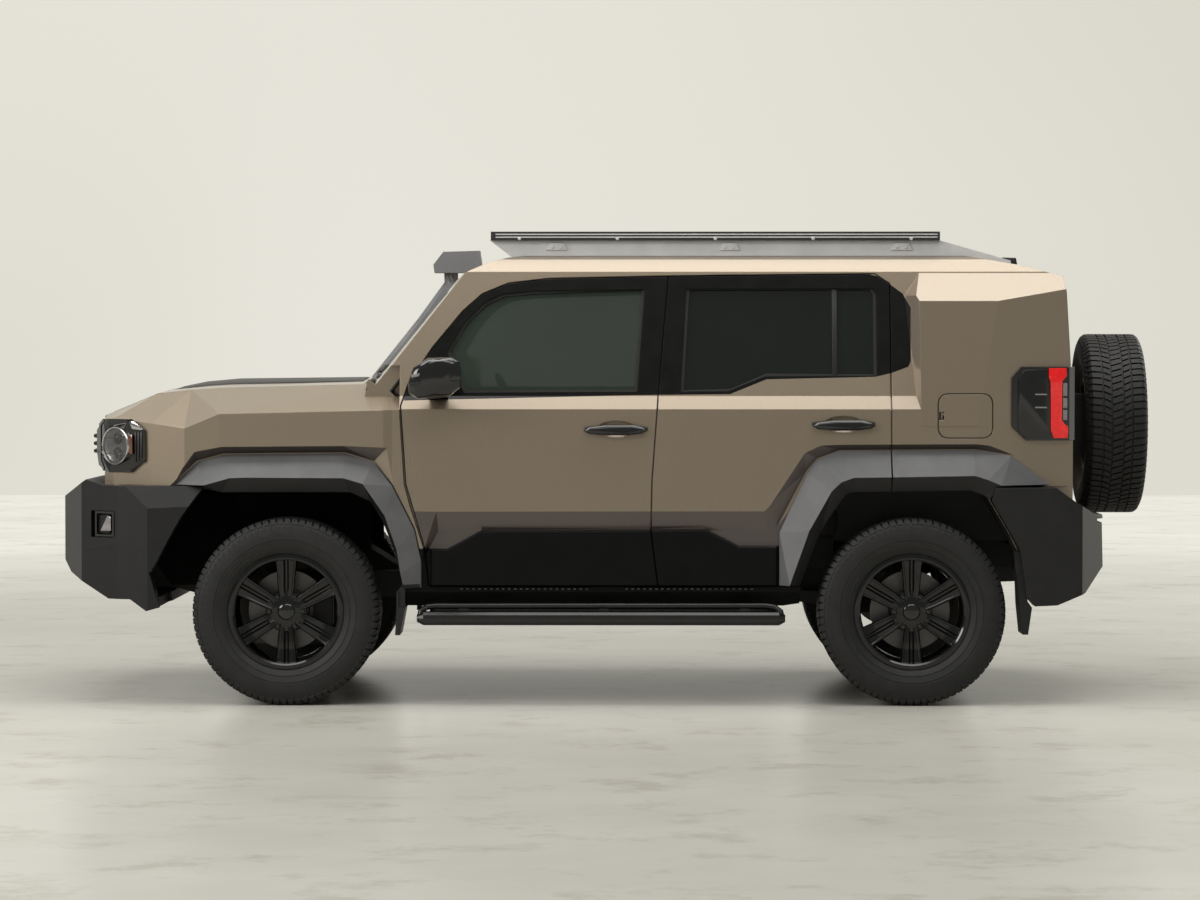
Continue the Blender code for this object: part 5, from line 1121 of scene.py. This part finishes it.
def build_rear_trim():
    lamp = bmesh.new()
    add_box(lamp, (-1.8965, -1.88), (-0.15, 0.15), (1.738, 1.752), 0.003)
    new_piece("high_stop_lamp", lamp, "red_lens")
    handle = bmesh.new()
    add_box(handle, (-1.933, -1.9165), (0.47, 0.6), (1.03, 1.062), 0.006)
    add_box(handle, (-1.9205, -1.916), (0.45, 0.62), (1.012, 1.08), 0.003)
    new_piece("tailgate_handle", handle, "gloss", "tailgate")
    reflector = bmesh.new()
    # The reflectors take the red lens, which glows, so they glow though they are no lamps: painted light
    add_box(reflector, (-2.063, -2.05), (0.44, 0.58), (0.64, 0.662), 0.002)
    both_sides("rear_reflector", reflector, "red_lens")
    ledge = bmesh.new()
    add_prism(ledge, photo_outline(STEP_PAD_OUTLINE, 0.6), 0.36, 0.618, 0.001)
    both_sides("bumper_step_pad", ledge, "grey_lens")


def build_step_pads():
    low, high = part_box("side_step_left")
    ys = (low[1] + 0.03, high[1] - 0.03)
    zs = (high[2] - 0.004, high[2] + 0.003)
    pads = bmesh.new()
    for start, end in ((0.62, 0.08), (-0.06, -0.6)):
        for index in range(STEP_PADS):
            x = start + (end - start) * (index + 0.5) / STEP_PADS
            add_box(pads, (x - 0.006, x + 0.006), ys, zs, 0.001, 1)
    both_sides("step_pads", pads, "seal")
    hoop = bmesh.new()
    add_tube(hoop, HOOP_POINTS, 0.0125, 14)
    both_sides("step_hoop", hoop, "step")


def build_grips():
    for stem, (right, down) in GRIP_SHIFT.items():
        grip = bmesh.new()
        outline = photo_outline([(px + right, py + down) for px, py in GRIP_OUTLINE], GRIP_Y)
        add_sections(grip, outline, GRIP_SHARES)
        both_sides(stem + "_grip", grip, "gloss", stem, "", 40.0)


def build_splash_guards():
    """Dark panels between the front wheels and the frame."""
    guard = bmesh.new()
    add_prism(guard, GUARD_OUTLINE, 0.426, 0.432, 0.0015)
    for index in range(4):
        x = 1.63 + 0.075 * index
        add_box(guard, (x - 0.006, x + 0.006), (0.4315, 0.4355), (0.52, 0.82), 0.001)
    both_sides("splash_guard", guard, "liner")


# Seats: crowned closed pads

PAD_SQUARE = 0.38
PAD_ROWS = 14
PAD_AROUND = 36
# Rear seat backs: y of the middle, half width
REAR_BACKS = [(0.4, 0.235), (0.0, 0.15), (-0.4, 0.235)]


def pad_piece(name, centre, half, lean, replaced=()):
    """A rounded cushion form: half sizes along x, y, z, leaned back about y."""
    turn = Matrix.Rotation(lean, 3, "Y")

    def eased(value):
        return math.copysign(abs(value) ** PAD_SQUARE, value)

    rings = []
    for row in range(1, PAD_ROWS):
        rise = math.pi * row / PAD_ROWS - math.pi / 2.0
        ring = []
        wide = eased(math.cos(rise))
        y = half[1] * eased(math.sin(rise))
        for step in range(PAD_AROUND):
            angle = 2.0 * math.pi * step / PAD_AROUND
            x = half[0] * wide * eased(math.cos(angle))
            z = half[2] * wide * eased(math.sin(angle))
            ring.append(Vector(centre) + turn @ Vector((x, y, z)))
        rings.append(ring)
    bm = bmesh.new()
    add_loft(bm, rings)
    new_piece(name, bm, "seat", "body", replaced, 50.0)


def build_front_seat(word, side):
    node = "front_seat_" + word
    low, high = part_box(node)
    front, back, floor, top = high[0], low[0], low[2], high[2]
    middle = (low[1] + high[1]) / 2.0
    half = (high[1] - low[1]) / 2.0
    cushion = (0.245, half - 0.075, 0.06)
    pad_piece("seat_cushion_" + word, (front - 0.245, middle, floor + 0.175), cushion, -0.08, (node,))
    for edge in (-1.0, 1.0):
        ending = word + ("_out" if edge * side > 0 else "_in")
        y = middle + edge * (half - 0.04)
        pad_piece("seat_roll_" + ending, (front - 0.245, y, floor + 0.19), (0.24, 0.04, 0.07), -0.08)
        pad_piece("seat_wing_" + ending, (back + 0.145, y, floor + 0.5), (0.062, 0.04, 0.27), -0.3)
    pad_piece("seat_back_" + word, (back + 0.13, middle, floor + 0.5), (0.055, half - 0.075, 0.3), -0.3)
    pad_piece("head_restraint_" + word, (back + 0.055, middle, top - 0.085), (0.05, 0.125, 0.085), -0.2)
    posts = bmesh.new()
    for y in (middle - 0.05, middle + 0.05):
        add_tube(posts, [(back + 0.085, y, top - 0.24), (back + 0.055, y, top - 0.1)], 0.006, 10)
    add_box(posts, (front - 0.44, front - 0.05), (middle - 0.18, middle + 0.18), (floor, floor + 0.11), 0.01)
    new_piece("seat_frame_" + word, posts, "trim")


def build_rear_seat():
    low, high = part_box("rear_seat")
    front, back, floor, top = high[0], low[0], low[2], high[2]
    bench = (0.24, high[1] - 0.01, 0.085)
    pad_piece("rear_bench", (front - 0.24, 0.0, floor + 0.2), bench, -0.06, ("rear_seat",))
    for index, (y, half) in enumerate(REAR_BACKS):
        pad_piece("rear_back_%d" % index, (back + 0.135, y, floor + 0.5), (0.06, half, 0.27), -0.28)
        pad_piece("rear_head_%d" % index, (back + 0.055, y, top - 0.075), (0.045, 0.115, 0.07), -0.15)
    shell = bmesh.new()
    add_box(shell, (front - 0.42, front - 0.05), (low[1] + 0.05, high[1] - 0.05), (floor, floor + 0.13), 0.01)
    new_piece("rear_seat_frame", shell, "trim")


# Stage

FLOOR_HALF = 100.0
WALL_Y = -22.8
WALL_TOP = 40.0
WALL_GLOW = 0.25
# The far floor glows for the camera alone: distances where it starts and is full, strength
GLOW_START = 3.0
GLOW_END = 13.0
GLOW_STRENGTH = 1.05


def seen_or_lit(tree, seen, lit):
    """One strength for what is looked at or mirrored, another for the light it gives."""
    path = add_node(tree, "LightPath")
    total = path.outputs["Is Camera Ray"]
    for output in ("Is Glossy Ray", "Is Transmission Ray"):
        larger = add_node(tree, "Math", operation="MAXIMUM")
        link(tree, total, larger.inputs[0])
        link(tree, path.outputs[output], larger.inputs[1])
        total = larger.outputs["Value"]
    span = add_node(tree, "MapRange", {"To Min": lit, "To Max": seen})
    link(tree, total, span.inputs["Value"])
    return span.outputs["Result"]


def mix_shaders(tree, share, low, high, target):
    """Leads two shaders, mixed by a share, to an output node's surface."""
    mix = add_node(tree, "MixShader")
    for index, source in enumerate((share, low, high)):
        link(tree, source, mix.inputs[index])
    link(tree, mix.outputs["Shader"], tree.nodes[target].inputs["Surface"])


def floor_material():
    """Pale polished stone: clouds, darker veins, a soft gloss and the glow of the far floor."""
    material, tree, shader = node_material("floor_pale")
    cloud = object_noise(tree, 0.9, 8.0, 0.62)
    veins = object_noise(tree, 2.2, 10.0, 0.72)
    pale = ramp_between(tree, cloud.outputs["Fac"], (0.455, 0.445, 0.4), (0.52, 0.51, 0.465))
    dark = ramp_between(tree, veins.outputs["Fac"], (0.78, 0.77, 0.74), (1.0, 1.0, 1.0), 0.36, 0.47)
    mix = add_node(tree, "MixRGB", {"Fac": 0.75}, blend_type="MULTIPLY")
    link(tree, pale.outputs["Color"], mix.inputs["Color1"])
    link(tree, dark.outputs["Color"], mix.inputs["Color2"])
    link(tree, mix.outputs["Color"], shader.inputs["Base Color"])
    set_inputs(shader, {"Roughness": 0.25, "Specular IOR Level": 0.03})
    place = add_node(tree, "TexCoord")
    distance = add_node(tree, "VectorMath", operation="LENGTH")
    link(tree, place.outputs["Object"], distance.inputs[0])
    glow = add_node(tree, "MapRange", {"From Min": GLOW_START, "From Max": GLOW_END, "To Max": GLOW_STRENGTH})
    link(tree, distance.outputs["Value"], glow.inputs["Value"])
    strength = add_node(tree, "Math", operation="MULTIPLY")
    link(tree, glow.outputs["Result"], strength.inputs[0])
    link(tree, seen_or_lit(tree, 1.0, 0.0), strength.inputs[1])
    link(tree, mix.outputs["Color"], shader.inputs["Emission Color"])
    link(tree, strength.outputs["Value"], shader.inputs["Emission Strength"])
    return material


def wall_material():
    """A glowing pale wall that is clear from behind, so that it never hides the car."""
    material, tree, shader = node_material("wall_pale")
    cloud = object_noise(tree, 0.08, 2.0)
    tint = ramp_between(tree, cloud.outputs["Fac"], (0.7, 0.685, 0.6), (0.8, 0.785, 0.71))
    set_inputs(shader, {"Base Color": (0.0, 0.0, 0.0, 1.0), "Roughness": 1.0})
    link(tree, tint.outputs["Color"], shader.inputs["Emission Color"])
    link(tree, seen_or_lit(tree, 1.0, WALL_GLOW), shader.inputs["Emission Strength"])
    behind = add_node(tree, "NewGeometry").outputs["Backfacing"]
    clear = add_node(tree, "BsdfTransparent").outputs["BSDF"]
    mix_shaders(tree, behind, shader.outputs["BSDF"], clear, "Material Output")
    return material


def stage_plane(name, corners, material):
    mesh = bpy.data.meshes.new(name)
    mesh.from_pydata(corners, [], [tuple(range(len(corners)))])
    mesh.materials.append(material)
    plane = bpy.data.objects.new(name, mesh)
    bpy.context.scene.collection.objects.link(plane)


def build_stage():
    half = FLOOR_HALF
    stage_plane("floor", [(x, y, 0.0) for x, y in rectangle(-half, -half, half, half)], floor_material())
    wall = [(-half, WALL_Y, 0.0), (-half, WALL_Y, WALL_TOP), (half, WALL_Y, WALL_TOP), (half, WALL_Y, 0.0)]
    stage_plane("backdrop", wall, wall_material())


def build_world():
    """Dim light from all round, and a brighter pale tone where the camera sees past the wall."""
    world = bpy.data.worlds.new("studio")
    bpy.context.scene.world = world
    world.use_nodes = True
    tree = world.node_tree
    back = tree.nodes["Background"]
    set_inputs(back, {"Color": (0.93, 0.92, 0.86, 1.0), "Strength": 0.27})
    seen = add_node(tree, "Background", {"Color": (0.8, 0.785, 0.715, 1.0), "Strength": 1.0})
    path = add_node(tree, "LightPath")
    mix_shaders(tree, path.outputs["Is Camera Ray"], back.outputs["Background"], seen.outputs["Background"],
                "World Output")


# Lights: name, place, aim, size, power
LIGHTS = [
    ("overhead", (0.0, 0.8, 6.0), (0.0, 0.0, 0.8), (8.5, 3.6), 370.0),
    ("front_fill", (7.2, 4.8, 4.4), (1.2, 0.0, 1.0), (4.0, 3.0), 310.0),
    ("side_fill", (-1.0, 7.6, 8.4), (0.0, 0.0, 1.0), (9.0, 2.6), 210.0),
    ("back_fill", (-6.5, -5.0, 4.0), (-1.0, 0.0, 1.0), (4.0, 3.0), 140.0)]
LIGHT_COLOR = (1.0, 0.985, 0.955)
SENSOR_WIDTH = 36.0


def build_lights():
    for name, place, aim, size, power in LIGHTS:
        data = bpy.data.lights.new(name, "AREA")
        data.shape = "RECTANGLE"
        data.size, data.size_y = size
        data.energy = power
        data.color = LIGHT_COLOR
        lamp = bpy.data.objects.new(name, data)
        lamp.location = place
        lamp.rotation_euler = (Vector(aim) - Vector(place)).to_track_quat("-Z", "Y").to_euler()
        bpy.context.scene.collection.objects.link(lamp)


def build_camera():
    data = bpy.data.cameras.new("camera")
    data.sensor_width = SENSOR_WIDTH
    data.lens = FOCAL_PIXELS / PHOTO_WIDTH * SENSOR_WIDTH
    data.clip_end = 300.0
    camera = bpy.data.objects.new("camera", data)
    camera.location = CAMERA_PLACE
    camera.rotation_euler = CAMERA_AIM.to_track_quat("-Z", "Y").to_euler()
    bpy.context.scene.collection.objects.link(camera)
    bpy.context.scene.camera = camera


dress_body()
dress_nodes()
build_wheels()
build_headlamps()
build_tail_lamps()
build_fog_lamps()
build_grille_slats()
build_mirrors()
build_window_trim()
build_hood_insert()
build_cowl()
build_wipers()
build_roof_pod()
build_rack_lines()
build_rack_feet()
build_rear_trim()
build_step_pads()
build_grips()
build_splash_guards()
for word, side in SIDES:
    build_front_seat(word, side)
build_rear_seat()
build_stage()
build_world()
build_lights()
build_camera()
bpy.context.scene.view_settings.view_transform = "Standard"
